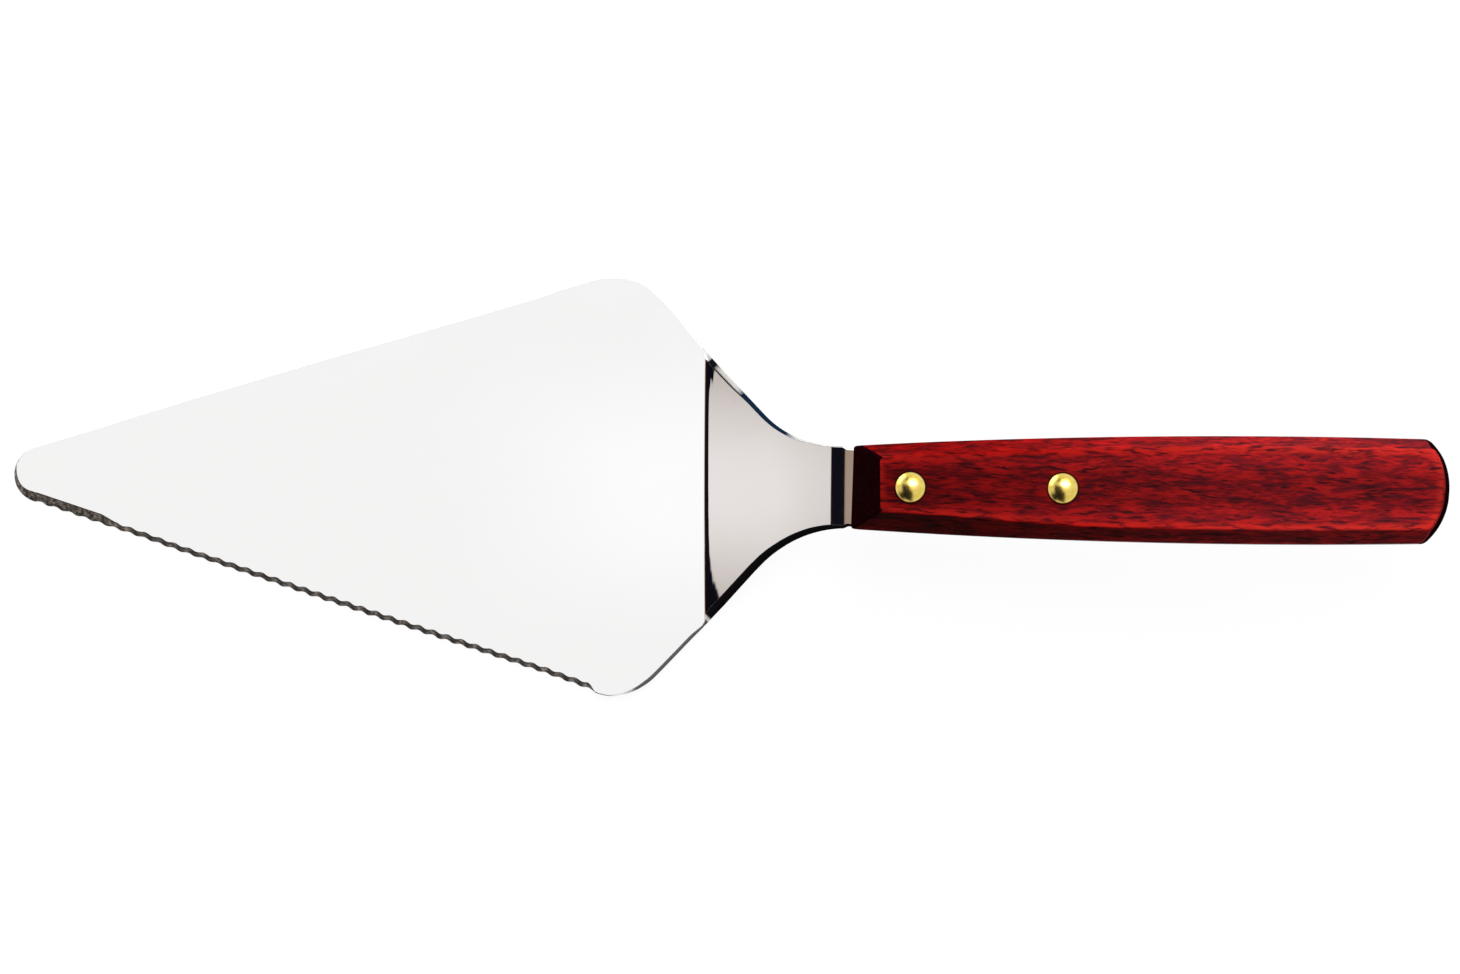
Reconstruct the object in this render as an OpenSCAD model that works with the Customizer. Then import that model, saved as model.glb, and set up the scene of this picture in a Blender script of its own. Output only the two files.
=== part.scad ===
// Cake server: a flat, kite-shaped steel blade with one wavy edge, a raised neck, and a
// red wooden handle that two domed brass rivets hold on the tang.
// Millimetres. +X runs from the tip of the blade to the butt of the handle and +Z is up.
// The blade lies flat on Z = 0, and the wavy edge is on the -Y side. The origin is under
// the middle of the whole length. The modules are drawn with X = 0 at the heel bend, where
// the neck starts to rise, and each node is moved from there to the origin.

/* [Steel sheet] */
// Thickness of the sheet that the blade, neck and tang are cut from
sheet_t = 1.6; // [1.2:0.1:2.4]

/* [Blade] */
// Length of the flat blade, from the tip to the heel bend
blade_len = 138.2; // [110:0.1:170]
// Width of the blade across its two back corners
blade_w = 83.8; // [70:0.1:100]
// Radius of the rounded tip
tip_r = 6; // [4:0.1:9]
// How far the tip lies from the middle line, to the side of the plain edge
tip_side = 1.3; // [0:0.1:3]
// Radius of the two back corners
corner_r = 11.3; // [8:0.1:15]
// Length from the widest place of the blade to the heel bend
corner_to_heel = 18.4; // [15:0.1:24]
// Radius of the slight bow that the heel bend makes across the sheet, seen from above
heel_bow_r = 2000; // [600:10:4000]

/* [Wavy edge] */
// Length of one wave along the edge
tooth_pitch = 3; // [2:0.1:5]
// Depth of the wave, from crest to hollow
tooth_depth = 0.5; // [0.3:0.05:0.8]
// How far the middle of the wave lies inside the blank's straight edge
tooth_inset = 0.45; // [0.4:0.05:0.8]
// Lean of the ground bevel from upright, in degrees
grind_angle = 28; // [15:0.5:45]
// Width of the wider bevel at the tip
tip_grind_w = 1.9; // [1.5:0.1:3]
// Length over which the wider bevel at the tip runs out
tip_grind_len = 34; // [15:1:60]

/* [Neck] */
// Length of the neck in plan, from the heel bend to the crest bend
neck_len = 26.1; // [24:0.1:34]
// Slope of the neck, in degrees
neck_angle = 30; // [20:0.5:40]
// Radius of the heel bend on the top face, in its hollow
heel_r = 3; // [2:0.1:6]
// Radius of the crest bend on the top face, over its hump
crest_r = 8.6; // [6:0.1:14]
// Width of the neck where it is narrowest
neck_w = 16.2; // [16:0.1:19]
// Radius of the hollow sides of the neck, seen from above
neck_flare_r = 22.3; // [16:0.1:25]
// How far past the middle of the crest bend the neck is narrowest
neck_flare_past = 1.7; // [0.5:0.1:3]

/* [Tang] */
// Slope of the tang and of the handle, in degrees
tang_angle = 8.5; // [4:0.5:12]
// Width of the tang
tang_w = 15.4; // [13:0.1:15.8]
// Length of straight tang that shows between the crest bend and the wood
tang_show = 1.6; // [0.5:0.1:4]
// Length of tang past the rear rivet
tang_past_rivet = 8; // [6:0.5:15]
// Radius of the two corners at the end of the tang
tang_end_r = 3; // [1:0.5:5]

/* [Handle] */
// Length of the wooden handle
handle_len = 117; // [100:0.5:140]
// Thickness of the board that the handle is cut from
handle_t = 15; // [13:0.5:20]
// Width of the handle at its widest place
handle_w = 21.1; // [18:0.1:26]
// Width of the handle at its front end
handle_front_w = 16.4; // [16:0.1:18]
// Length from the front end to the widest place
handle_widest = 80.6; // [60:0.1:90]
// Radius of the rounded butt
butt_r = 13.2; // [12.5:0.1:20]
// Width of the long bevels at the front end, seen from above
bevel_front_w = 3.3; // [2:0.1:4]
// Width of the long bevels at the butt, seen from above
bevel_butt_w = 2.3; // [1.5:0.1:3.5]
// Steepness of the long bevels, in degrees down from the broad faces
bevel_angle = 54; // [40:0.5:58]
// Height of the upright face that is left at the front end
front_land = 5; // [4:0.1:7]
// Length of the front bevels
front_bevel = 6.1; // [4:0.1:8]
// Width of the bevel round the butt, seen from above
butt_bevel = 1; // [0.5:0.1:2]
// Length of the saw kerf past the end of the tang
kerf_spare = 4; // [2:0.5:10]
// Radius of the saw that cuts the kerf
kerf_saw_r = 60; // [50:1:90]

/* [Rivets] */
// Length from the front end of the wood to the front rivet
front_rivet = 12.1; // [9:0.1:18]
// Distance between the two rivets
rivet_spacing = 30.1; // [20:0.1:45]
// Diameter of the rivet heads
head_d = 6; // [5:0.1:8]
// Height of the rivet heads
head_h = 1.5; // [1:0.1:2]
// Height of the straight rim under the dome of a head
head_rim = 0.3; // [0.2:0.05:0.5]
// Outside diameter of the rivet sleeve
sleeve_d = 4; // [3.4:0.1:4.6]
// Diameter of the solid post that is driven into the sleeve
post_d = 2.5; // [2:0.1:2.8]
// Length of the gap between the sleeve's open end and the upper head
sleeve_gap = 1; // [0.5:0.1:2]
// Thickness of the closed end of the sleeve, above its head
sleeve_floor = 1.5; // [1:0.1:3]

/* [Fits] */
// Clearance on each side of the tang in the kerf
kerf_fit = 0.05; // [0.04:0.01:0.2]
// Clearance all round the sleeve in the wood
wood_fit = 0.02; // [0.02:0.01:0.1]
// Clearance all round the sleeve in the tang
tang_fit = 0.1; // [0.05:0.01:0.3]
// Clearance all round the post in the sleeve
post_fit = 0.02; // [0.01:0.01:0.05]
// Clearance between the end of the post and the floor of the sleeve
post_end_fit = 0.5; // [0.2:0.1:1]

/* [Hidden] */

steel = [0.86, 0.86, 0.87];
wood = [0.45, 0.05, 0.06];
brass = [0.84, 0.72, 0.30];

// How far every cut runs past what it cuts
overrun = 5;
// Steps in a rounded corner, in a bend and in one wave of the edge
arc_steps = 14;
bend_steps = 8;
wave_steps = 8;
// Facets of a full turn: for the handle's long sides, for other curves of a large radius
// and for small round pieces
side_fn = 720;
wide_fn = 360;
round_fn = 64;

// The blade's outline, seen from above. It is three circles joined by straight lines, then
// a hollow arc on each side down to the crest. A side is worked out as the +Y one, with the
// tip at tip_y, and the other is its mirror image.
tip_x = tip_r - blade_len;
corner_x = -corner_to_heel;
corner_y = blade_w / 2 - corner_r;
flare_x = neck_len + neck_flare_past;
flare_y = neck_w / 2 + neck_flare_r;
shoulder_r = (neck_w - tang_w) / 2;
tang_corner_y = tang_w / 2 - tang_end_r;

function arc(centre, radius, from, to, steps = arc_steps) =
    [for (i = [0:steps]) let (a = from + (to - from) * i / steps) centre + radius * [cos(a), sin(a)]];

// Slope of the long edge, as the line that touches the tip circle and the corner circle
function edge_slope(tip_y) =
    let (run = corner_x - tip_x, rise = corner_y - tip_y)
    atan2(rise, run) + asin((corner_r - tip_r) / norm([run, rise]));

// Length of the straight part of the long edge
function edge_len(tip_y) =
    let (run = corner_x - tip_x, rise = corner_y - tip_y)
    sqrt(run * run + rise * rise - pow(corner_r - tip_r, 2));

// Slope of the back edge, which crosses from the corner circle to the hollow arc
back_run = flare_x - corner_x;
back_rise = flare_y - corner_y;
back_slope = atan2(back_rise, back_run) - asin((corner_r + neck_flare_r) / norm([back_run, back_rise]));

function side(tip_y) = concat(
    arc([tip_x, tip_y], tip_r, 180, edge_slope(tip_y) + 90),
    arc([corner_x, corner_y], corner_r, edge_slope(tip_y) + 90, back_slope + 90),
    arc([flare_x, flare_y], neck_flare_r, back_slope - 90, -90),
    arc([flare_x, tang_w / 2], shoulder_r, 90, 0),
    arc([tang_end_x - tang_end_r, tang_corner_y], tang_end_r, 90, 0)
);

function mirrored(points) = [for (i = [len(points) - 1:-1:1]) [points[i].x, -points[i].y]];

// The bends of the sheet, seen from the side. Each bend is an arc about one centre. The top
// face and the underside are both drawn about it, one sheet thickness apart.
heel_cx = -heel_r * sin(neck_angle / 2);
heel_cz = sheet_t + heel_r;
slope_x = heel_cx + heel_r * sin(neck_angle);
slope_z = heel_cz - heel_r * cos(neck_angle);
crest_cx = neck_len + crest_r * sin((neck_angle + tang_angle) / 2);
crest_x = crest_cx - crest_r * sin(neck_angle);
crest_cz = slope_z + (crest_x - slope_x) * tan(neck_angle) - crest_r * cos(neck_angle);

// Start of the wood, on the middle of the tang's thickness
tang_mid_r = crest_r - sheet_t / 2;
front_x = crest_cx - tang_mid_r * sin(tang_angle) + tang_show * cos(tang_angle);
front_z = crest_cz + tang_mid_r * cos(tang_angle) + tang_show * sin(tang_angle);

rear_rivet = front_rivet + rivet_spacing;
tang_len = rear_rivet + tang_past_rivet;
tang_end_x = front_x + tang_len * cos(tang_angle);
tang_reach = tang_len + tang_show + overrun;

function heel_bend(radius, from, to) =
    [for (i = [0:bend_steps]) let (a = from + (to - from) * i / bend_steps)
        [heel_cx + radius * sin(a), heel_cz - radius * cos(a)]];

function crest_bend(radius, from, to) =
    [for (i = [0:bend_steps]) let (a = from + (to - from) * i / bend_steps)
        [crest_cx - radius * sin(a), crest_cz + radius * cos(a)]];

function tang_end(radius) = [
    crest_cx - radius * sin(tang_angle) + tang_reach * cos(tang_angle),
    crest_cz + radius * cos(tang_angle) + tang_reach * sin(tang_angle)
];

sheet_side = concat(
    [[-blade_len - overrun, sheet_t]],
    heel_bend(heel_r, 0, neck_angle),
    crest_bend(crest_r, neck_angle, tang_angle),
    [tang_end(crest_r), tang_end(crest_r - sheet_t)],
    crest_bend(crest_r - sheet_t, tang_angle, neck_angle),
    heel_bend(heel_r + sheet_t, neck_angle, 0),
    [[-blade_len - overrun, 0]]
);

// The wavy edge, along the blank's straight edge from where that edge leaves the tip circle
wave_slope = edge_slope(-tip_side);
wave_start = [tip_x - tip_r * sin(wave_slope), tip_side - tip_r * cos(wave_slope)];
wave_count = floor(edge_len(-tip_side) / tooth_pitch);
wave_margin = (edge_len(-tip_side) - wave_count * tooth_pitch) / 2;
crest_inset = tooth_inset - tooth_depth / 2;
tip_grind_angle = atan2(tip_grind_w, sheet_t);
tip_grind_turn = atan2(tip_grind_w - tooth_depth / 2 - sheet_t * tan(grind_angle), tip_grind_len);

function wave(i) = [
    wave_margin + tooth_pitch * i / wave_steps,
    (tooth_inset - tooth_depth / 2 * cos(360 * i / wave_steps)) * cos(grind_angle)
];

// The handle, in its own frame: X along it from the front end, Y across, Z square to the
// tang, with zero on the middle of the tang
side_sag = (handle_w - handle_front_w) / 2;
side_r = (handle_widest * handle_widest + side_sag * side_sag) / (2 * side_sag);
butt_x = handle_len - butt_r;
kerf_t = sheet_t + 2 * kerf_fit;
kerf_len = tang_len + kerf_spare;
rivet_z = handle_t / 2;

// The long bevels are parts of cones that lean a little, so that they narrow to the butt
bevel_w_change = bevel_front_w - bevel_butt_w;
bevel_lean = atan2(bevel_w_change * tan(bevel_angle), handle_len);
bevel_widest_w = bevel_front_w - bevel_w_change * handle_widest / handle_len;
bevel_foot_z = handle_t / 2 - bevel_widest_w * tan(bevel_angle);
butt_foot_z = handle_t / 2 - bevel_butt_w * tan(bevel_angle);

// Moves the whole so that the origin is under the middle of its length
butt_end_x = front_x + handle_len * cos(tang_angle) + butt_foot_z * sin(tang_angle);
centre_x = (blade_len - butt_end_x) / 2;

module placed() {
    translate([centre_x, 0, 0])
        children();
}

// Puts its children in the handle's frame, with X = 0 at a place along the handle
module on_handle(x = 0) {
    placed()
        translate([front_x, 0, front_z])
            rotate([0, -tang_angle, 0])
                translate([x, 0, 0])
                    children();
}

// The bent sheet, before its outline is cut: its side view swept round the centre of the bow
module bent_sheet() {
    sweep = 2 * asin(blade_w / heel_bow_r);
    translate([heel_bow_r, 0, 0])
        rotate_extrude(angle = sweep, start = 180 - sweep / 2, $fn = wide_fn)
            polygon([for (p = sheet_side) [heel_bow_r - p.x, p.y]]);
}

module blade_outline() {
    translate([0, 0, -overrun])
        linear_extrude(height = front_z + tang_len * sin(tang_angle) + 2 * overrun)
            polygon(concat(side(tip_side), mirrored(side(-tip_side))));
}

// Puts its children at the start of the wavy edge: X along the edge, Y into the blade
module on_wavy_edge() {
    translate([wave_start.x, wave_start.y, 0])
        rotate([0, 0, -wave_slope])
            children();
}

// What the grinding wheel takes off along the wavy edge, leaning in towards the top face
module wave_cut() {
    wave_end = wave_count * wave_steps;
    on_wavy_edge()
        rotate([-grind_angle, 0, 0])
            translate([0, 0, -overrun])
                linear_extrude(height = sheet_t + 2 * overrun)
                    polygon(concat(
                        [[-tip_r - overrun, -overrun], [-tip_r - overrun, wave(0).y]],
                        [for (i = [0:wave_end]) wave(i)],
                        [[wave(wave_end).x, -overrun]]
                    ));
}

// The wider flat bevel that wraps the tip and runs out along the wavy edge
module tip_cut() {
    on_wavy_edge()
        translate([0, crest_inset, 0])
            rotate([0, 0, -tip_grind_turn])
                rotate([-tip_grind_angle, 0, 0])
                    translate([-tip_r - overrun, -overrun, -overrun])
                        cube([tip_r + tip_grind_len + 2 * overrun, overrun, sheet_t + 3 * overrun]);
}

module tang_hole(x) {
    on_handle(x)
        translate([0, 0, -sheet_t - overrun])
            cylinder(d = sleeve_d + 2 * tang_fit, h = 2 * (sheet_t + overrun), $fn = round_fn);
}

// Blade, neck and tang, cut and bent from one sheet
module blade() {
    color(steel)
        difference() {
            placed()
                intersection() {
                    bent_sheet();
                    blade_outline();
                }
            placed()
                wave_cut();
            placed()
                tip_cut();
            tang_hole(front_rivet);
            tang_hole(rear_rivet);
        }
}

// The handle's section along its length: a board with a bevel above and below its front end
module board() {
    rotate([90, 0, 0])
        linear_extrude(height = 2 * handle_w, center = true)
            polygon([
                [0, -front_land / 2],
                [0, front_land / 2],
                [front_bevel, handle_t / 2],
                [handle_len + overrun, handle_t / 2],
                [handle_len + overrun, -handle_t / 2],
                [front_bevel, -handle_t / 2]
            ]);
}

// The rounded butt with the bevel round its rim, and a block that runs on to the front
module butt_end() {
    translate([butt_x, 0, 0])
        rotate_extrude($fn = wide_fn)
            polygon([
                [0, -handle_t / 2],
                [butt_r - butt_bevel, -handle_t / 2],
                [butt_r, -butt_foot_z],
                [butt_r, butt_foot_z],
                [butt_r - butt_bevel, handle_t / 2],
                [0, handle_t / 2]
            ]);
    translate([-overrun, -handle_w, -handle_t / 2])
        cube([butt_x + overrun, 2 * handle_w, handle_t]);
}

// The cone that bevels one long edge, above the middle of the tang
module long_bevel() {
    bevel_run = 1 / tan(bevel_angle);
    rotate([0, -bevel_lean, 0])
        translate([0, 0, bevel_foot_z - handle_t])
            cylinder(
                r1 = side_r + bevel_run * handle_t,
                r2 = side_r - bevel_run * handle_t,
                h = 2 * handle_t,
                $fn = side_fn
            );
}

// One long side, as part of a wide disc with its two rims bevelled: across is 1 or -1
module long_side(across) {
    translate([handle_widest, across * (handle_w / 2 - side_r), 0])
        intersection() {
            cylinder(r = side_r, h = handle_t + overrun, center = true, $fn = side_fn);
            long_bevel();
            mirror([0, 0, 1])
                long_bevel();
        }
}

// The wood before it is slotted and drilled
module handle_blank() {
    intersection() {
        board();
        butt_end();
        long_side(1);
        long_side(-1);
    }
}

// The slot for the tang, as a disc saw leaves it: open at both sides, round at its end
module kerf() {
    translate([kerf_len - kerf_saw_r, 0, 0])
        cylinder(r = kerf_saw_r, h = kerf_t, center = true, $fn = wide_fn);
}

module wood_hole(x) {
    translate([x, 0, 0])
        cylinder(d = sleeve_d + 2 * wood_fit, h = handle_t + 2 * overrun, center = true, $fn = round_fn);
}

module handle() {
    color(wood)
        on_handle()
            difference() {
                handle_blank();
                kerf();
                wood_hole(front_rivet);
                wood_hole(rear_rivet);
            }
}

// Half of a rivet head's section, with its flat seat at zero
module head_section() {
    cap_h = head_h - head_rim;
    dome_r = (head_d * head_d / 4 + cap_h * cap_h) / (2 * cap_h);
    square([head_d / 2, head_rim]);
    translate([0, head_rim])
        intersection() {
            translate([0, cap_h - dome_r])
                circle(r = dome_r, $fn = wide_fn);
            square([head_d / 2, cap_h]);
        }
}

// The upper half of a rivet: a head with a solid post, driven down into the sleeve
module rivet_post(x) {
    post_len = 2 * rivet_z - sleeve_floor - post_end_fit;
    color(brass)
        on_handle(x)
            translate([0, 0, rivet_z])
                rotate_extrude($fn = round_fn) {
                    head_section();
                    translate([0, -post_len])
                        square([post_d / 2, post_len + head_rim]);
                }
}

// The lower half of a rivet: a head with a tube that runs up through wood and tang
module rivet_sleeve(x) {
    sleeve_len = 2 * rivet_z - sleeve_gap;
    bore_r = post_d / 2 + post_fit;
    color(brass)
        on_handle(x)
            translate([0, 0, -rivet_z])
                difference() {
                    rotate_extrude($fn = round_fn) {
                        mirror([0, 1])
                            head_section();
                        translate([0, -head_rim])
                            square([sleeve_d / 2, sleeve_len + head_rim]);
                    }
                    translate([0, 0, sleeve_floor])
                        cylinder(r = bore_r, h = sleeve_len + overrun, $fn = round_fn);
                }
}

module front_rivet_post() {
    rivet_post(front_rivet);
}

module front_rivet_sleeve() {
    rivet_sleeve(front_rivet);
}

module rear_rivet_post() {
    rivet_post(rear_rivet);
}

module rear_rivet_sleeve() {
    rivet_sleeve(rear_rivet);
}

blade();
handle();
front_rivet_post();
front_rivet_sleeve();
rear_rivet_post();
rear_rivet_sleeve();
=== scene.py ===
"""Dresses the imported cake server: bent steel blade, stained handle and brass rivets."""

import logging
import math
from dataclasses import dataclass, field
from enum import Enum

import bpy
import numpy as np
from mathutils import Matrix, Vector


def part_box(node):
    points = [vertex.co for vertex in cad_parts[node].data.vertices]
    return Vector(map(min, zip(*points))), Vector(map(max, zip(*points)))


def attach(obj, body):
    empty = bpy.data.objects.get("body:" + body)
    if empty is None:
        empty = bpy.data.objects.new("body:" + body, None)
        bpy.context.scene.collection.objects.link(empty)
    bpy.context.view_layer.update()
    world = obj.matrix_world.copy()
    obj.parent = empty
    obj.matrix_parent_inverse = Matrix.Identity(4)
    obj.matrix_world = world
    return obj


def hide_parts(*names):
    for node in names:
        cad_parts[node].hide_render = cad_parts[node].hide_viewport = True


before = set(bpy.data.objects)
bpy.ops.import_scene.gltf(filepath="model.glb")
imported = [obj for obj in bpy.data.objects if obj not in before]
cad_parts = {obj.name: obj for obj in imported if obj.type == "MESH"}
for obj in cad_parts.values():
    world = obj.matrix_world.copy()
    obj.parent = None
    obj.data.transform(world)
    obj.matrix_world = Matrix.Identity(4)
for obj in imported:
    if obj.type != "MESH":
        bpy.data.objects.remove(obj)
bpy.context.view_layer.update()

log = logging.getLogger("cake_server")

MM = 0.001
BODY = "root"
PHOTO_SIZE = (1460, 974)

Colour = tuple[float, float, float]
Profile = list[tuple[float, float]]


class Slot(Enum):
    """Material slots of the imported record."""

    STEEL = "blade_steel"
    WOOD = "handle_wood"
    BRASS = "rivet_brass"


class RivetHalf(Enum):
    """The two pieces of a driven rivet."""

    POST = "post"
    SLEEVE = "sleeve"


class Nodes:
    """Adds and joins shader nodes in one tree."""

    def __init__(self, tree: bpy.types.NodeTree) -> None:
        """Empties the tree.

        Args:
            tree: The node tree to fill.
        """
        self.tree = tree
        tree.nodes.clear()

    def add(self, kind: str, **settings: object) -> bpy.types.Node:
        """Adds a node.

        Args:
            kind: The node's type, without its leading "ShaderNode" or "Node".
            settings: Attributes of the node, by name.

        Returns:
            The new node.
        """
        shared = kind in ("GroupInput", "GroupOutput")
        node = self.tree.nodes.new(("Node" if shared else "ShaderNode") + kind)
        for name, value in settings.items():
            setattr(node, name, value)
        return node

    def put(self, socket: bpy.types.NodeSocket, value: object) -> None:
        """Joins a socket to an output, or sets it to a plain value.

        Args:
            socket: The input to feed.
            value: An output socket, a number or a tuple.
        """
        if isinstance(value, bpy.types.NodeSocket):
            self.tree.links.new(value, socket)
        elif isinstance(value, tuple) and socket.type == "RGBA" and len(value) == 3:
            socket.default_value = (*value, 1.0)
        else:
            socket.default_value = value

    def math(self, operation: str, *values: object, clamp: bool = False) -> bpy.types.NodeSocket:
        """Adds a Math node.

        Args:
            operation: Blender's name of the operation.
            values: Its inputs, each a socket or a number.
            clamp: Whether the result is kept between 0 and 1.

        Returns:
            The result.
        """
        node = self.add("Math", operation=operation, use_clamp=clamp)
        for socket, value in zip(node.inputs, values):
            self.put(socket, value)
        return node.outputs[0]

    def span(self, value: object, low: float, high: float) -> bpy.types.NodeSocket:
        """Rises smoothly from 0 at low to 1 at high.

        Args:
            value: The number to look at.
            low: Where the rise starts.
            high: Where it ends, which may be below low.

        Returns:
            The smooth step.
        """
        node = self.add("MapRange", interpolation_type="SMOOTHSTEP")
        falling = high < low
        for name, number in {
            "Value": value,
            "From Min": min(low, high),
            "From Max": max(low, high),
            "To Min": 1.0 if falling else 0.0,
            "To Max": 0.0 if falling else 1.0,
        }.items():
            self.put(node.inputs[name], number)
        return node.outputs["Result"]

    def mix(self, share: object, first: object, second: object, blend: str = "MIX") -> bpy.types.NodeSocket:
        """Mixes two colours.

        Args:
            share: How much of the second colour shows.
            first: The colour at a share of 0.
            second: The colour at a share of 1.
            blend: Blender's name of the way of mixing.

        Returns:
            The mixed colour.
        """
        node = self.add("Mix", data_type="RGBA", blend_type=blend, clamp_factor=True)
        self.put(node.inputs["Factor"], share)
        self.put(node.inputs["A"], first)
        self.put(node.inputs["B"], second)
        return node.outputs["Result"]

    def ramp(self, value: object, stops: list[tuple[float, Colour]]) -> bpy.types.NodeSocket:
        """Looks a value up in a row of colours.

        Args:
            value: The place on the ramp, from 0 to 1.
            stops: The place and colour of each stop, in order.

        Returns:
            The colour.
        """
        node = self.add("ValToRGB")
        elements = node.color_ramp.elements
        while len(elements) < len(stops):
            elements.new(1.0)
        for element, (place, colour) in zip(elements, stops):
            element.position = place
            element.color = (*colour, 1.0)
        self.put(node.inputs["Fac"], value)
        return node.outputs["Color"]

    def noise(self, vector: object, stretch: tuple[float, float, float], detail: float = 2.0,
              distortion: float = 0.0, roughness: float = 0.5) -> bpy.types.NodeSocket:
        """Adds noise on stretched coordinates.

        Args:
            vector: The coordinates.
            stretch: Waves per unit along each axis.
            detail: Number of finer layers.
            distortion: How far the pattern is bent by itself.
            roughness: Strength of the finer layers.

        Returns:
            The noise, from 0 to 1.
        """
        scaled = self.add("VectorMath", operation="MULTIPLY")
        self.put(scaled.inputs[0], vector)
        self.put(scaled.inputs[1], stretch)
        node = self.add("TexNoise", noise_dimensions="3D")
        self.put(node.inputs["Vector"], scaled.outputs[0])
        self.put(node.inputs["Scale"], 1.0)
        self.put(node.inputs["Detail"], detail)
        self.put(node.inputs["Roughness"], roughness)
        self.put(node.inputs["Distortion"], distortion)
        return node.outputs["Fac"]

    def millimetres(self) -> bpy.types.NodeSocket:
        """Gives the piece's own coordinates, in millimetres."""
        scaled = self.add("VectorMath", operation="SCALE")
        self.put(scaled.inputs[0], self.add("TexCoord").outputs["Object"])
        self.put(scaled.inputs["Scale"], 1 / MM)
        return scaled.outputs[0]


class EffectGroups:
    """Shader node groups that more than one finish uses, each built once."""

    built: dict[str, bpy.types.NodeTree] = {}

    @classmethod
    def start(cls, name: str, inputs: dict[str, tuple[str, object]], outputs: dict[str, str]) -> Nodes:
        """Opens a new group with named sockets.

        Args:
            name: The group's name.
            inputs: Socket type and default value of each input, by name.
            outputs: Socket type of each output, by name.

        Returns:
            The group's nodes.
        """
        tree = bpy.data.node_groups.new(name, "ShaderNodeTree")
        for label, (kind, value) in inputs.items():
            socket = tree.interface.new_socket(label, in_out="INPUT", socket_type=kind)
            if value is not None:
                socket.default_value = value
        for label, kind in outputs.items():
            tree.interface.new_socket(label, in_out="OUTPUT", socket_type=kind)
        cls.built[name] = tree
        return Nodes(tree)

    @classmethod
    def hairlines(cls) -> bpy.types.NodeTree:
        """Fine lines left by polishing, and a few longer scratches across them.

        Returns:
            The group, which puts out Height and Lines.
        """
        name = "polishing_hairlines"
        if name in cls.built:
            return cls.built[name]
        nodes = cls.start(
            name,
            {"Vector": ("NodeSocketVector", None), "Density": ("NodeSocketFloat", 1.0)},
            {"Height": "NodeSocketFloat", "Lines": "NodeSocketFloat"},
        )
        entry = nodes.add("GroupInput")
        scaled = nodes.add("VectorMath", operation="SCALE")
        nodes.put(scaled.inputs[0], entry.outputs["Vector"])
        nodes.put(scaled.inputs["Scale"], entry.outputs["Density"])
        lengthwise = nodes.noise(scaled.outputs[0], (0.06, 9.0, 9.0), detail=3.0)
        turned = nodes.add("VectorRotate", rotation_type="Z_AXIS")
        nodes.put(turned.inputs["Vector"], scaled.outputs[0])
        nodes.put(turned.inputs["Angle"], math.radians(34.0))
        crossing = nodes.noise(turned.outputs[0], (0.05, 3.2, 3.2), detail=1.0)
        scratches = nodes.span(crossing, 0.70, 0.74)
        leave = nodes.add("GroupOutput")
        nodes.put(leave.inputs["Height"], nodes.math("SUBTRACT", lengthwise, scratches))
        nodes.put(leave.inputs["Lines"],
                  nodes.math("MAXIMUM", nodes.span(lengthwise, 0.56, 0.74), scratches))
        return nodes.tree

    @classmethod
    def handling(cls) -> bpy.types.NodeTree:
        """Broad faint smears where the piece has been handled and wiped.

        Returns:
            The group, which puts out Smear.
        """
        name = "handling_smears"
        if name in cls.built:
            return cls.built[name]
        nodes = cls.start(
            name,
            {"Vector": ("NodeSocketVector", None), "Size": ("NodeSocketFloat", 10.0)},
            {"Smear": "NodeSocketFloat"},
        )
        entry = nodes.add("GroupInput")
        scaled = nodes.add("VectorMath", operation="SCALE")
        nodes.put(scaled.inputs[0], entry.outputs["Vector"])
        nodes.put(scaled.inputs["Scale"], nodes.math("DIVIDE", 1.0, entry.outputs["Size"]))
        wide = nodes.noise(scaled.outputs[0], (1.0, 1.6, 1.0), detail=4.0, distortion=0.8)
        leave = nodes.add("GroupOutput")
        nodes.put(leave.inputs["Smear"], nodes.span(wide, 0.42, 0.68))
        return nodes.tree

    @classmethod
    def place(cls, nodes: Nodes, group: bpy.types.NodeTree, **inputs: object) -> bpy.types.Node:
        """Places a group in a material.

        Args:
            nodes: The material's nodes.
            group: The group to place.
            inputs: Its inputs by name.

        Returns:
            The group's node.
        """
        node = nodes.add("Group", node_tree=group)
        for name, value in inputs.items():
            nodes.put(node.inputs[name], value)
        return node


def principled(nodes: Nodes, **inputs: object) -> None:
    """Ends a material in a Principled BSDF.

    Args:
        nodes: The material's nodes.
        inputs: The shader's inputs, with underscores for the spaces in their names.
    """
    shader = nodes.add("BsdfPrincipled")
    for name, value in inputs.items():
        nodes.put(shader.inputs[name.replace("_", " ")], value)
    output = nodes.add("OutputMaterial")
    nodes.put(output.inputs["Surface"], shader.outputs["BSDF"])


def new_material(name: str) -> tuple[bpy.types.Material, Nodes]:
    """Makes an empty node material.

    Args:
        name: The material's name.

    Returns:
        The material and its nodes.
    """
    material = bpy.data.materials.new(name)
    material.use_nodes = True
    return material, Nodes(material.node_tree)


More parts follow.
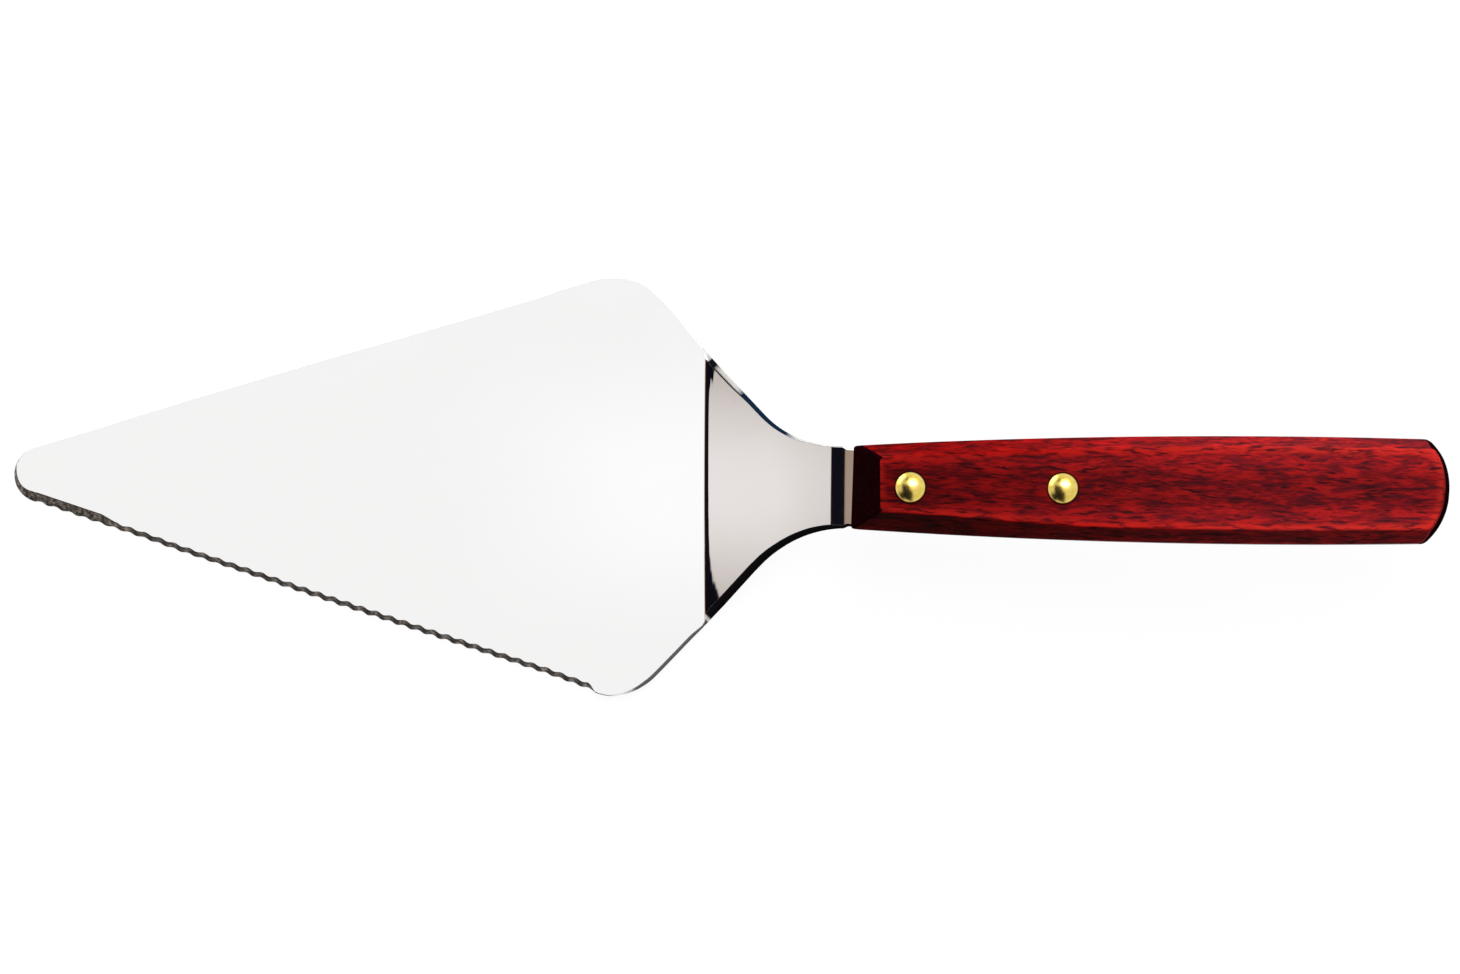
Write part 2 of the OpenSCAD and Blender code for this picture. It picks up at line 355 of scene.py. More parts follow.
@dataclass(frozen=True)
class PolishedSteel:
    """Buffed stainless sheet, with a coarser ground edge and dull sheared sides, whose colour holds painted light: dark
    and navy reflections on the edges, shade on the neck and the wave flanks, and a highlight near the heel.
    """

    clean: Colour = (0.895, 0.893, 0.890)
    # Painted highlight: the lighter steel colour laid on the blade near the heel.
    bright: Colour = (0.965, 0.965, 0.965)
    # Painted shade colour for the neck plate.
    shaded: Colour = (0.640, 0.614, 0.580)
    # The ground edge is rough steel; its near-black colour is painted dark reflection, with lighter speckles.
    ground: Colour = (0.058, 0.047, 0.038)
    ground_light: Colour = (0.350, 0.305, 0.270)
    # Painted shade: near-black colour for the falling flank of each wave.
    painted_flank_shade: Colour = (0.012, 0.010, 0.008)
    # Painted dark reflection: the near-black colour of the sheared faces and of the rolled bands beside them, on top of
    # their dull finish.
    sheared_and_dark_reflection: Colour = (0.0035, 0.0032, 0.0036)
    # Painted reflection: navy blue on the sheared edge, standing in for a dark blue surrounding.
    painted_navy_reflection: Colour = (0.0028, 0.0090, 0.0215)
    heel_highlight_x: tuple[float, float] = (-62.0, -10.0)
    neck_x: tuple[float, float] = (-3.9, -3.3)
    shaded_x: tuple[float, float] = (8.0, 20.5)
    shaded_y: float = 22.0
    polish: float = 0.045
    ground_roughness: float = 0.5

    def material(self) -> bpy.types.Material:
        """Builds the material.

        Returns:
            A steel that reads the mesh's attributes for the ground edge, for the sheared edge with its painted dark
            reflection, and for the painted shade on the wave flanks.
        """
        material, nodes = new_material("polished_steel")
        place = nodes.millimetres()
        axes = nodes.add("SeparateXYZ")
        nodes.put(axes.inputs[0], place)
        lines = EffectGroups.place(nodes, EffectGroups.hairlines(), Vector=place, Density=1.0)
        smear = EffectGroups.place(nodes, EffectGroups.handling(), Vector=place, Size=26.0)
        ground = nodes.add("Attribute", attribute_name="ground").outputs["Fac"]
        sheared_and_dark_reflection = nodes.add("Attribute", attribute_name="sheared_and_dark_reflection").outputs["Fac"]
        across = nodes.math("ABSOLUTE", axes.outputs["Y"])
        # Painted highlight: the blade is made lighter towards the heel, where its reflection reads brighter.
        painted_heel_highlight = nodes.math(
            "MULTIPLY", nodes.span(axes.outputs["X"], *self.heel_highlight_x), nodes.span(across, 34.0, 4.0)
        )
        steel = nodes.mix(painted_heel_highlight, self.clean, self.bright)
        # Painted shade: the neck plate is darkened towards its sides and towards the crest, where its reflection reads
        # dimmer.
        sides = nodes.math("POWER", nodes.math("DIVIDE", across, self.shaded_y), 2.0)
        shade = nodes.math("MULTIPLY_ADD", nodes.span(axes.outputs["X"], *self.shaded_x), 0.32, sides)
        on_neck = nodes.span(axes.outputs["X"], *self.neck_x)
        steel = nodes.mix(nodes.math("MULTIPLY", shade, on_neck, clamp=True), steel, self.shaded)
        burr = nodes.noise(place, (1.3, 1.3, 1.3), detail=5.0, roughness=0.7)
        ground_steel = nodes.mix(nodes.span(burr, 0.42, 0.66), self.ground, self.ground_light)
        # Painted shade on the falling flanks of the waves.
        flank_shade = nodes.add("Attribute", attribute_name="flank_shade").outputs["Fac"]
        ground_steel = nodes.mix(nodes.math("MULTIPLY", flank_shade, 0.88), ground_steel, self.painted_flank_shade)
        # Painted reflection: the sheared edge turns navy on the upper side, towards the handle.
        navy_share = nodes.math("MULTIPLY", nodes.span(axes.outputs["Y"], 0.0, 2.0), nodes.span(axes.outputs["X"], 0.0, 5.0))
        edge = nodes.mix(navy_share, self.sheared_and_dark_reflection, self.painted_navy_reflection)
        # Painted dark reflection where the sheared share lies, which also takes away the metal.
        colour = nodes.mix(sheared_and_dark_reflection, nodes.mix(ground, steel, ground_steel), edge)
        bare = nodes.math("SUBTRACT", 1.0, sheared_and_dark_reflection, clamp=True)
        marks = nodes.math("MULTIPLY", lines.outputs["Lines"], 0.030)
        buffed = nodes.math("ADD", nodes.math("MULTIPLY_ADD", smear.outputs["Smear"], 0.02, self.polish), marks)
        dull = nodes.math("MULTIPLY", nodes.math("MAXIMUM", ground, sheared_and_dark_reflection), self.ground_roughness)
        bump = nodes.add("Bump")
        nodes.put(bump.inputs["Strength"], 0.05)
        nodes.put(bump.inputs["Distance"], 0.01 * MM)
        nodes.put(bump.inputs["Height"], lines.outputs["Height"])
        principled(
            nodes,
            Base_Color=colour,
            Metallic=bare,
            Roughness=nodes.math("ADD", buffed, dull, clamp=True),
            Specular_IOR_Level=nodes.math("MULTIPLY", bare, 0.5),
            Normal=bump.outputs["Normal"],
        )
        return material


@dataclass(frozen=True)
class StainedWood:
    """Open-grained hardwood, stained deep red under a thin lacquer."""

    dark: Colour = (0.060, 0.0028, 0.0058)
    middle: Colour = (0.140, 0.0027, 0.0052)
    bright: Colour = (0.262, 0.0039, 0.0058)
    pore: Colour = (0.036, 0.0022, 0.0042)
    rubbed: Colour = (0.320, 0.0064, 0.0068)
    # Painted shade: the darkening laid on the side of the handle that faces away from the key lamp.
    painted_low_side_shade: Colour = (0.17, 0.06, 0.10)
    # Colour of the darker ring round each rivet head.
    ring: Colour = (0.012, 0.0020, 0.0015)
    front_tone: Colour = (0.61, 0.84, 0.55)
    bevel_tone: Colour = (0.62, 0.12, 0.08)
    rear_tone: Colour = (1.02, 2.20, 1.45)
    tone_x: tuple[float, float] = (5.0, 100.0)
    seam_tone: tuple[float, float, float] = (0.75, 0.41, -0.10)
    grain_lean: float = 0.02
    rivet_x: tuple[float, float] = (12.1, 42.2)
    rivet_r: float = 3.0

    def material(self) -> bpy.types.Material:
        """Builds the material.

        Returns:
            A wood whose grain runs along the piece's own X, and that reads its rubbed attribute and its painted shade
            on the -Y side.
        """
        material, nodes = new_material("stained_wood")
        place = nodes.millimetres()
        axes = nodes.add("SeparateXYZ")
        nodes.put(axes.inputs[0], place)
        waver = nodes.noise(place, (0.11, 0.2, 0.2), detail=2.0)
        bent = nodes.add("VectorMath", operation="ADD")
        nodes.put(bent.inputs[0], place)
        sway = nodes.add("CombineXYZ")
        lean = nodes.math("MULTIPLY", axes.outputs["X"], self.grain_lean)
        nodes.put(sway.inputs["Y"], nodes.math("MULTIPLY_ADD", waver, 1.6, lean))
        nodes.put(bent.inputs[1], sway.outputs[0])
        grain_place = bent.outputs[0]
        patches = nodes.noise(grain_place, (0.12, 0.42, 0.42), detail=2.0)
        streaks = nodes.noise(grain_place, (0.24, 1.35, 1.35), detail=3.0, distortion=0.25, roughness=0.55)
        flecks = nodes.noise(grain_place, (0.60, 3.1, 3.1), detail=2.0, distortion=0.2)
        tone = nodes.math(
            "ADD",
            nodes.math("MULTIPLY", patches, 0.34),
            nodes.math("MULTIPLY_ADD", streaks, 0.40, nodes.math("MULTIPLY", flecks, 0.26)),
        )
        wood = nodes.ramp(
            nodes.span(tone, 0.38, 0.62),
            [(0.0, self.dark), (0.5, self.middle), (1.0, self.bright)],
        )
        pores = nodes.math(
            "MULTIPLY",
            nodes.span(nodes.noise(grain_place, (0.30, 2.3, 2.3), detail=1.5, distortion=0.2), 0.46, 0.36),
            nodes.span(streaks, 0.60, 0.46),
        )
        rub = nodes.add("Attribute", attribute_name="rubbed").outputs["Fac"]
        rub = nodes.math("MULTIPLY", rub, nodes.span(streaks, 0.36, 0.56))
        wood = nodes.mix(rub, nodes.mix(pores, wood, self.pore), self.rubbed)
        # Painted shade on the -Y side of the handle, deepest near the front.
        painted_low_side_shade = nodes.add("Attribute", attribute_name="painted_low_side_shade").outputs["Fac"]
        wood = nodes.mix(painted_low_side_shade, wood, nodes.mix(1.0, wood, self.painted_low_side_shade, "MULTIPLY"))
        across = nodes.math("ABSOLUTE", axes.outputs["Y"])
        on_bevel = nodes.span(across, 5.6, 7.4)
        near = nodes.mix(on_bevel, self.front_tone, self.bevel_tone)
        faded = nodes.mix(nodes.span(axes.outputs["X"], *self.tone_x), near, self.rear_tone)
        middle, seam, bevel = self.seam_tone
        tone = nodes.math("MULTIPLY_ADD", nodes.span(across, 2.0, 6.0), seam, middle)
        tone = nodes.math("MULTIPLY_ADD", nodes.span(across, 7.2, 8.6), bevel, tone)
        wood = nodes.mix(1.0, wood, nodes.mix(1.0, faded, tone, "MULTIPLY"), "MULTIPLY")
        # A darker ring on the wood round each rivet head.
        gap = None
        for centre in self.rivet_x:
            along = nodes.math("SUBTRACT", axes.outputs["X"], centre)
            away = nodes.math("SQRT", nodes.math(
                "ADD", nodes.math("POWER", along, 2.0), nodes.math("POWER", axes.outputs["Y"], 2.0)
            ))
            gap = away if gap is None else nodes.math("MINIMUM", gap, away)
        near_rivet = nodes.span(gap, self.rivet_r + 0.35, self.rivet_r + 0.05)
        colour = nodes.mix(near_rivet, wood, self.ring)
        smear = EffectGroups.place(nodes, EffectGroups.handling(), Vector=place, Size=14.0)
        gloss = nodes.math("MULTIPLY_ADD", smear.outputs["Smear"], 0.10, 0.30)
        roughness = nodes.math("MULTIPLY_ADD", pores, 0.25, gloss)
        bump = nodes.add("Bump")
        nodes.put(bump.inputs["Strength"], 0.5)
        nodes.put(bump.inputs["Distance"], 0.05 * MM)
        nodes.put(bump.inputs["Height"], nodes.math("SUBTRACT", nodes.math("MULTIPLY", flecks, 0.5), pores))
        principled(
            nodes,
            Base_Color=colour,
            Roughness=roughness,
            Normal=bump.outputs["Normal"],
            Specular_IOR_Level=0.008,
        )
        return material


@dataclass(frozen=True)
class EndGrain:
    """Cut ends of the wood, where the stain soaks in and turns darker; their near-black colour also holds painted
    shade.
    """

    # Soaked-in stain with painted shade: the end faces turn nearly black.
    soaked_and_painted_shade: Colour = (0.0042, 0.0004, 0.0008)
    pale: Colour = (0.0150, 0.0014, 0.0022)

    def material(self) -> bpy.types.Material:
        """Builds the material.

        Returns:
            A dull, nearly black red with the dots of cut pores.
        """
        material, nodes = new_material("end_grain")
        place = nodes.millimetres()
        dots = nodes.noise(place, (2.2, 2.6, 2.6), detail=3.0, roughness=0.6)
        smear = EffectGroups.place(nodes, EffectGroups.handling(), Vector=place, Size=6.0)
        colour = nodes.mix(nodes.span(dots, 0.45, 0.8), self.soaked_and_painted_shade, self.pale)
        bump = nodes.add("Bump")
        nodes.put(bump.inputs["Strength"], 0.4)
        nodes.put(bump.inputs["Distance"], 0.05 * MM)
        nodes.put(bump.inputs["Height"], dots)
        principled(
            nodes,
            Base_Color=colour,
            Roughness=nodes.math("MULTIPLY_ADD", smear.outputs["Smear"], 0.12, 0.5),
            Normal=bump.outputs["Normal"],
            Specular_IOR_Level=0.0,
        )
        return material


@dataclass(frozen=True)
class PolishedBrass:
    """Polished rivet brass, a little tarnished where it meets the wood."""

    clean: Colour = (0.930, 0.720, 0.190)
    worn: Colour = (0.830, 0.600, 0.095)
    tarnished: Colour = (0.180, 0.105, 0.020)
    rim_r: tuple[float, float] = (2.82, 2.99)

    def material(self) -> bpy.types.Material:
        """Builds the material.

        Returns:
            A brass that darkens towards the rim of a head that is centred on the piece's own Z.
        """
        material, nodes = new_material("polished_brass")
        place = nodes.millimetres()
        axes = nodes.add("SeparateXYZ")
        nodes.put(axes.inputs[0], place)
        lines = EffectGroups.place(nodes, EffectGroups.hairlines(), Vector=place, Density=2.2)
        smear = EffectGroups.place(nodes, EffectGroups.handling(), Vector=place, Size=2.4)
        radius = nodes.math("SQRT", nodes.math(
            "ADD",
            nodes.math("POWER", axes.outputs["X"], 2.0),
            nodes.math("POWER", axes.outputs["Y"], 2.0),
        ))
        rim = nodes.span(radius, *self.rim_r)
        metal = nodes.mix(smear.outputs["Smear"], self.clean, self.worn)
        rough = nodes.math("MULTIPLY_ADD", lines.outputs["Lines"], 0.06, 0.22)
        bump = nodes.add("Bump")
        nodes.put(bump.inputs["Strength"], 0.15)
        nodes.put(bump.inputs["Distance"], 0.01 * MM)
        nodes.put(bump.inputs["Height"], lines.outputs["Height"])
        principled(
            nodes,
            Base_Color=nodes.mix(rim, metal, self.tarnished),
            Metallic=1.0,
            Roughness=nodes.math("MULTIPLY_ADD", rim, 0.15, rough),
            Normal=bump.outputs["Normal"],
        )
        return material


def mesh_piece(name: str, points: np.ndarray, faces: list[tuple[int, ...]],
               finishes: list[bpy.types.Material]) -> bpy.types.Object:
    """Makes a smooth-shaded mesh object.

    Args:
        name: The piece's name.
        points: One row of x, y, z for each vertex.
        faces: The vertex numbers of each face.
        finishes: The materials of the piece's slots.

    Returns:
        The object, linked to the scene.
    """
    mesh = bpy.data.meshes.new(name)
    mesh.from_pydata([tuple(map(float, p)) for p in points], [], faces)
    mesh.validate()
    for finish in finishes:
        mesh.materials.append(finish)
    mesh.polygons.foreach_set("use_smooth", [True] * len(mesh.polygons))
    mesh.update()
    piece = bpy.data.objects.new(name, mesh)
    bpy.context.scene.collection.objects.link(piece)
    return piece


def set_attribute(piece: bpy.types.Object, name: str, values: np.ndarray) -> None:
    """Stores one number per vertex, for a material to read.

    Args:
        piece: The mesh object.
        name: The attribute's name.
        values: The numbers, in the order of the vertices.
    """
    attribute = piece.data.attributes.new(name, "FLOAT", "POINT")
    attribute.data.foreach_set("value", values.astype(np.float32))


def revolved(profile: Profile, segments: int) -> tuple[np.ndarray, list[tuple[int, ...]]]:
    """Turns a profile about Z.

    Args:
        profile: Radius and height of each point, from one end on the axis to the other.
        segments: Number of steps in a full turn.

    Returns:
        The points and the faces.
    """
    points: list[tuple[float, float, float]] = []
    rings: list[list[int]] = []
    for radius, height in profile:
        if radius <= 0.0:
            rings.append([len(points)] * segments)
            points.append((0.0, 0.0, height))
            continue
        rings.append(list(range(len(points), len(points) + segments)))
        for step in range(segments):
            turn = 2 * math.pi * step / segments
            points.append((radius * math.cos(turn), radius * math.sin(turn), height))
    faces = []
    for lower, upper in zip(rings, rings[1:]):
        for a in range(segments):
            b = (a + 1) % segments
            corners = dict.fromkeys((lower[a], lower[b], upper[b], upper[a]))
            if len(corners) > 2:
                faces.append(tuple(corners))
    return np.array(points), faces


def subtract(piece: bpy.types.Object, cutters: list[bpy.types.Object]) -> None:
    """Cuts solids out of a piece for good, and removes them.

    Args:
        piece: The mesh object to cut.
        cutters: Closed mesh objects.
    """
    for cutter in cutters:
        cut = piece.modifiers.new("cut", "BOOLEAN")
        cut.operation = "DIFFERENCE"
        cut.solver = "EXACT"
        cut.object = cutter
    bpy.context.view_layer.update()
    depsgraph = bpy.context.evaluated_depsgraph_get()
    result = bpy.data.meshes.new_from_object(piece.evaluated_get(depsgraph), preserve_all_data_layers=True,
                                             depsgraph=depsgraph)
    piece.modifiers.clear()
    old = piece.data
    piece.data = result
    result.name = old.name
    bpy.data.meshes.remove(old)
    for cutter in cutters:
        bpy.data.objects.remove(cutter)


def disc_cutter(radius: float, height: float, centre: tuple[float, float], segments: int,
                place: Matrix) -> bpy.types.Object:
    """Makes a round cutter that is centred on Z = 0.

    Args:
        radius: Its radius.
        height: Its full height.
        centre: Its place in X and Y, before it is placed.
        segments: Number of steps in a full turn.
        place: Where its own frame stands.

    Returns:
        The cutter, with its faces in the second material slot.
    """
    points, faces = revolved([(0, -height / 2), (radius, -height / 2), (radius, height / 2), (0, height / 2)],
                             segments)
    points[:, 0] += centre[0]
    points[:, 1] += centre[1]
    cutter = mesh_piece("cutter", points, faces, [])
    for polygon in cutter.data.polygons:
        polygon.material_index = 1
    cutter.matrix_world = place
    return cutter


def finish_piece(piece: bpy.types.Object, node: str) -> None:
    """Weights a piece's normals, puts it on the body and lets it stand for its CAD node.

    Args:
        piece: The mesh object.
        node: The CAD node that it stands for.
    """
    weighted = piece.modifiers.new("flat_faces_stay_flat", "WEIGHTED_NORMAL")
    weighted.keep_sharp = True
    weighted.weight = 80
    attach(piece, BODY)
    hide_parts(node)
    log.info("%s: %d vertices, stands for %s", piece.name, len(piece.data.vertices), node)


def bezier(start: np.ndarray, pull: np.ndarray, end: np.ndarray, steps: int) -> list[np.ndarray]:
    """Samples quadratic curves, without their first points.

    Args:
        start: Where each curve starts.
        pull: The point that each curve bends towards.
        end: Where each curve ends.
        steps: Number of points to give for each curve.

    Returns:
        The points, in order along the curves.
    """
    shares = [step / steps for step in range(1, steps + 1)]
    return [(1 - t) ** 2 * start + 2 * t * (1 - t) * pull + t * t * end for t in shares]


@dataclass
class SheetSide:
    """Side view of the bent sheet, with x = 0 at the heel bend and z = 0 under the blade."""

    thickness: float = 1.6 * MM
    neck_len: float = 26.1 * MM
    neck_angle: float = math.radians(30.0)
    heel_r: float = 2.3 * MM
    crest_r: float = 8.6 * MM
    tang_angle: float = math.radians(8.5)
    tang_show: float = 1.6 * MM
    soft_drop: float = 0.19
    soft_start: float = 0.4 * MM
    soft_reach: Profile = field(default_factory=lambda: [
        (-26.0, 5.2), (-23.6, 4.0), (-20.6, 1.9), (-17.6, 0.7), (-14.6, 0.35), (-10.0, 0.15), (0.0, 0.01), (19.0, 0.01),
        (21.4, 0.35), (24.4, 2.6), (27.0, 3.8),
    ])

    def __post_init__(self) -> None:
        """Works out the centres of the two bends and the start of the wood."""
        self.heel_cx = -self.heel_r * math.sin(self.neck_angle / 2)
        self.heel_cz = self.thickness + self.heel_r
        slope_x = self.heel_cx + self.heel_r * math.sin(self.neck_angle)
        slope_z = self.heel_cz - self.heel_r * math.cos(self.neck_angle)
        self.crest_cx = self.neck_len + self.crest_r * math.sin((self.neck_angle + self.tang_angle) / 2)
        crest_x = self.crest_cx - self.crest_r * math.sin(self.neck_angle)
        crest_z = slope_z + (crest_x - slope_x) * math.tan(self.neck_angle)
        self.crest_cz = crest_z - self.crest_r * math.cos(self.neck_angle)
        middle_r = self.crest_r - self.thickness / 2
        sine, cosine = math.sin(self.tang_angle), math.cos(self.tang_angle)
        self.wood_x = self.crest_cx - middle_r * sine + self.tang_show * cosine
        self.wood_z = self.crest_cz + middle_r * cosine + self.tang_show * sine

    def slope(self, along: np.ndarray) -> np.ndarray:
        """Gives the sheet's slope.

        Args:
            along: Distances from the heel bend.

        Returns:
            The slope at each, in radians.
        """
        rise = np.arcsin(np.clip((along - self.heel_cx) / self.heel_r, 0, math.sin(self.neck_angle)))
        fall = np.arcsin(np.clip((self.crest_cx - along) / self.crest_r, math.sin(self.tang_angle),
                                 math.sin(self.neck_angle)))
        return np.where(along < self.neck_len / 2, rise, fall)

    def height(self, along: np.ndarray, depth: np.ndarray) -> np.ndarray:
        """Gives the height of the face that lies at a depth under the top face.

        Args:
            along: Distances from the heel bend.
            depth: Depths square to the sheet, zero on the top face.

        Returns:
            The heights.
        """
        inner, outer = self.heel_r + depth, self.crest_r - depth
        rise, fall = math.sin(self.neck_angle), math.sin(self.tang_angle)
        start = np.clip((along - self.heel_cx) / inner, 0, rise)
        low = self.heel_cz - inner * np.sqrt(1 - start**2)
        past_heel = np.maximum(along - (self.heel_cx + inner * rise), 0)
        low = low + past_heel * math.tan(self.neck_angle)
        top = np.clip((self.crest_cx - along) / outer, fall, rise)
        high = self.crest_cz + outer * np.sqrt(1 - top**2)
        before_crest = np.maximum(self.crest_cx - outer * rise - along, 0)
        past_crest = np.maximum(along - (self.crest_cx - outer * fall), 0)
        high = high - before_crest * math.tan(self.neck_angle) + past_crest * math.tan(self.tang_angle)
        return np.where(along < self.neck_len / 2, low, high)

    def softening(self, along: np.ndarray, across: np.ndarray) -> np.ndarray:
        """Gives how far the sheet sinks at the two ends of the heel bend, where the fold is softer.

        Args:
            along: Distances from the heel bend.
            across: Distances from the middle line.

        Returns:
            The heights that go off, greatest in the corners of the neck.
        """
        furthest = np.interp(across / MM, *zip(*self.soft_reach)) * MM
        reach = np.clip(along - self.soft_start, 0, furthest)
        return self.soft_drop * (reach - reach**2 / (2 * furthest))


@dataclass
class Blade:
    """Blade, neck and tang: one bent sheet with rolled edges and one wavy ground edge."""

    sheet: SheetSide
    tang_len: float
    rivet_places: tuple[float, float]
    length: float = 138.2 * MM
    width: float = 83.8 * MM
    tip_r: float = 6.0 * MM
    tip_side: float = 1.3 * MM
    corner_r: float = 11.3 * MM
    corner_to_heel: float = 18.4 * MM
    heel_bow_r: float = 2000.0 * MM
    neck_w: float = 16.2 * MM
    flare_r: float = 22.3 * MM
    flare_past: float = 1.7 * MM
    tang_w: float = 15.4 * MM
    tang_end_r: float = 3.0 * MM
    shoulder: tuple[float, float] = (27.2 * MM, 28.4 * MM)
    skew: Profile = field(default_factory=lambda: [(-26.0, 0.35), (-6.0, 0.85), (4.0, 0.95), (20.0, 0.0)])
    upper_trim: Profile = field(default_factory=lambda: [
        (-125.0, 0.0), (-105.0, -0.35), (-73.0, -0.4), (-60.0, -0.25), (-41.0, -0.2), (-33.0, -0.25), (-29.0, -0.5),
        (-23.0, -0.5), (-19.0, -0.2), (-15.0, -0.35), (-11.0, -0.65), (-7.0, -1.0), (-5.0, -0.75), (-1.0, -0.3),
        (1.0, 0.15), (4.0, 0.3), (9.0, 0.35), (14.0, 0.45), (18.0, 0.35), (22.0, 0.0), (25.0, -0.12), (28.0, -0.12),
        (30.0, 0.0),
    ])
    lower_trim: Profile = field(default_factory=lambda: [
        (-113.0, 0.0), (-105.0, -0.15), (-78.0, -0.1), (-65.0, 0.0), (-43.0, 0.2), (-32.0, 0.33), (-25.0, 0.2), (-19.0, 0.0),
        (-15.0, 0.3), (-12.0, 0.4), (-9.0, 0.25), (-3.0, 0.2), (0.0, 0.05), (4.0, 0.05), (7.0, 0.15), (10.0, 0.25),
        (15.0, 0.0), (30.0, 0.0),
    ])
    tooth_pitch: float = 3.0 * MM
    tooth_depth: Profile = field(default_factory=lambda: [
        (0.0, 0.36), (24.0, 0.30), (36.0, 0.30), (60.0, 0.39), (84.0, 0.385), (96.0, 0.33), (112.0, 0.32),
    ])
    tooth_drift: Profile = field(default_factory=lambda: [
        (0.0, -0.9), (11.6, -0.64), (23.6, -0.07), (35.6, 0.30), (47.6, 0.53), (71.6, 0.69), (95.6, 0.64), (107.6, 0.44),
    ])
    tooth_inset: float = 0.43 * MM
    flank_turn: float = math.radians(50.0)
    grind_angle: float = math.radians(31.5)
    grind_ending: float = 2.0 * MM
    tip_grind: Profile = field(default_factory=lambda: [
        (-10.6, 0.05), (-9.0, 0.38), (-7.5, 0.62), (-4.9, 0.98), (-3.1, 1.45), (-1.8, 1.85), (0.0, 2.10), (13.5, 2.15),
        (18.0, 1.25), (24.0, 0.80),
    ])
    upper_band: Profile = field(default_factory=lambda: [
        (-4.0, 0.28), (0.0, 0.45), (2.0, 0.65), (6.0, 0.6), (9.0, 0.34), (16.0, 0.28), (19.0, 0.25), (29.0, 0.35),
        (31.0, 0.3),
    ])
    # Where a painted dark reflection lies along the upper edge, by distance from the heel bend.
    upper_black: Profile = field(default_factory=lambda: [
        (0.7, 0.0), (1.2, 1.0), (2.2, 1.0), (3.6, 0.0), (5.6, 0.0), (7.6, 1.0), (16.0, 1.0), (18.5, 0.4), (26.0, 0.15),
        (30.0, 0.0),
    ])
    lower_band: Profile = field(default_factory=lambda: [
        (-18.0, 0.28), (-15.0, 0.45), (-12.0, 0.7), (-2.6, 0.66), (-0.9, 0.42), (0.2, 0.22), (0.8, 0.9), (2.0, 1.15),
        (11.0, 1.05), (15.0, 0.97), (21.0, 0.95), (24.4, 0.85), (29.0, 0.45), (31.0, 0.4),
    ])
    columns: int = 16
    edge_crowding: float = 0.6
    steps_a_tooth: int = 12

    def __post_init__(self) -> None:
        """Works out the outline's circles and the line of the wavy edge."""
        self.tip_x = self.tip_r - self.length
        self.corner = (-self.corner_to_heel, self.width / 2 - self.corner_r)
        self.flare = (self.sheet.neck_len + self.flare_past, self.neck_w / 2 + self.flare_r)
        run, rise = self.flare[0] - self.corner[0], self.flare[1] - self.corner[1]
        self.back_slope = math.atan2(rise, run) - math.asin((self.corner_r + self.flare_r) / math.hypot(run, rise))
        self.tang_end = self.sheet.wood_x + self.tang_len * math.cos(self.sheet.tang_angle)
        run, rise = self.corner[0] - self.tip_x, self.corner[1] + self.tip_side
        self.wavy_slope = self.edge_slope(-self.tip_side)
        self.wavy_len = math.sqrt(run**2 + rise**2 - (self.corner_r - self.tip_r) ** 2)
        self.wavy_start = self.tip_x - self.tip_r * math.sin(self.wavy_slope)
        self.heel_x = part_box("blade")[0].x + self.length

    def edge_slope(self, tip_y: float) -> float:
        """Gives the slope of a long edge.

        Args:
            tip_y: How far the tip lies towards that edge.

        Returns:
            The slope, in radians.
        """
        run, rise = self.corner[0] - self.tip_x, self.corner[1] - tip_y
        return math.atan2(rise, run) + math.asin((self.corner_r - self.tip_r) / math.hypot(run, rise))

    def half_width(self, x: np.ndarray, tip_y: float) -> np.ndarray:
        """Gives how far one side of the outline lies from the middle line.

        Args:
            x: Distances from the heel bend.
            tip_y: How far the tip lies towards that side.

        Returns:
            The distances.
        """
        slope, back = self.edge_slope(tip_y), self.back_slope
        corner_x, corner_y = self.corner
        flare_x, flare_y = self.flare
        touches = (
            self.tip_x - self.tip_r * math.sin(slope),
            corner_x - self.corner_r * math.sin(slope),
            corner_x - self.corner_r * math.sin(back),
            flare_x + self.flare_r * math.sin(back),
        )
        tip = tip_y + np.sqrt(np.clip(self.tip_r**2 - (x - self.tip_x) ** 2, 0, None))
        edge = tip_y + self.tip_r * math.cos(slope) + (x - touches[0]) * math.tan(slope)
        corner = corner_y + np.sqrt(np.clip(self.corner_r**2 - (x - corner_x) ** 2, 0, None))
        back_edge = corner_y + self.corner_r * math.cos(back) + (x - touches[2]) * math.tan(back)
        flare = flare_y - np.sqrt(np.clip(self.flare_r**2 - (np.minimum(x, flare_x) - flare_x) ** 2, 0, None))
        share = np.clip((x - self.shoulder[0]) / (self.shoulder[1] - self.shoulder[0]), 0, 1)
        share = share * share * (3 - 2 * share)
        round_end = np.clip(x - (self.tang_end - self.tang_end_r), 0, self.tang_end_r)
        tang = self.tang_w / 2 - self.tang_end_r + np.sqrt(self.tang_end_r**2 - round_end**2)
        neck = flare * (1 - share) + tang * share
        return np.select([x < touches[0], x < touches[1], x < touches[2], x < touches[3]],
                         [tip, edge, corner, back_edge], neck)

    def bow(self, y: np.ndarray) -> np.ndarray:
        """Gives how far the bends lie back at a distance from the middle line."""
        return self.heel_bow_r - np.sqrt(self.heel_bow_r**2 - y**2)

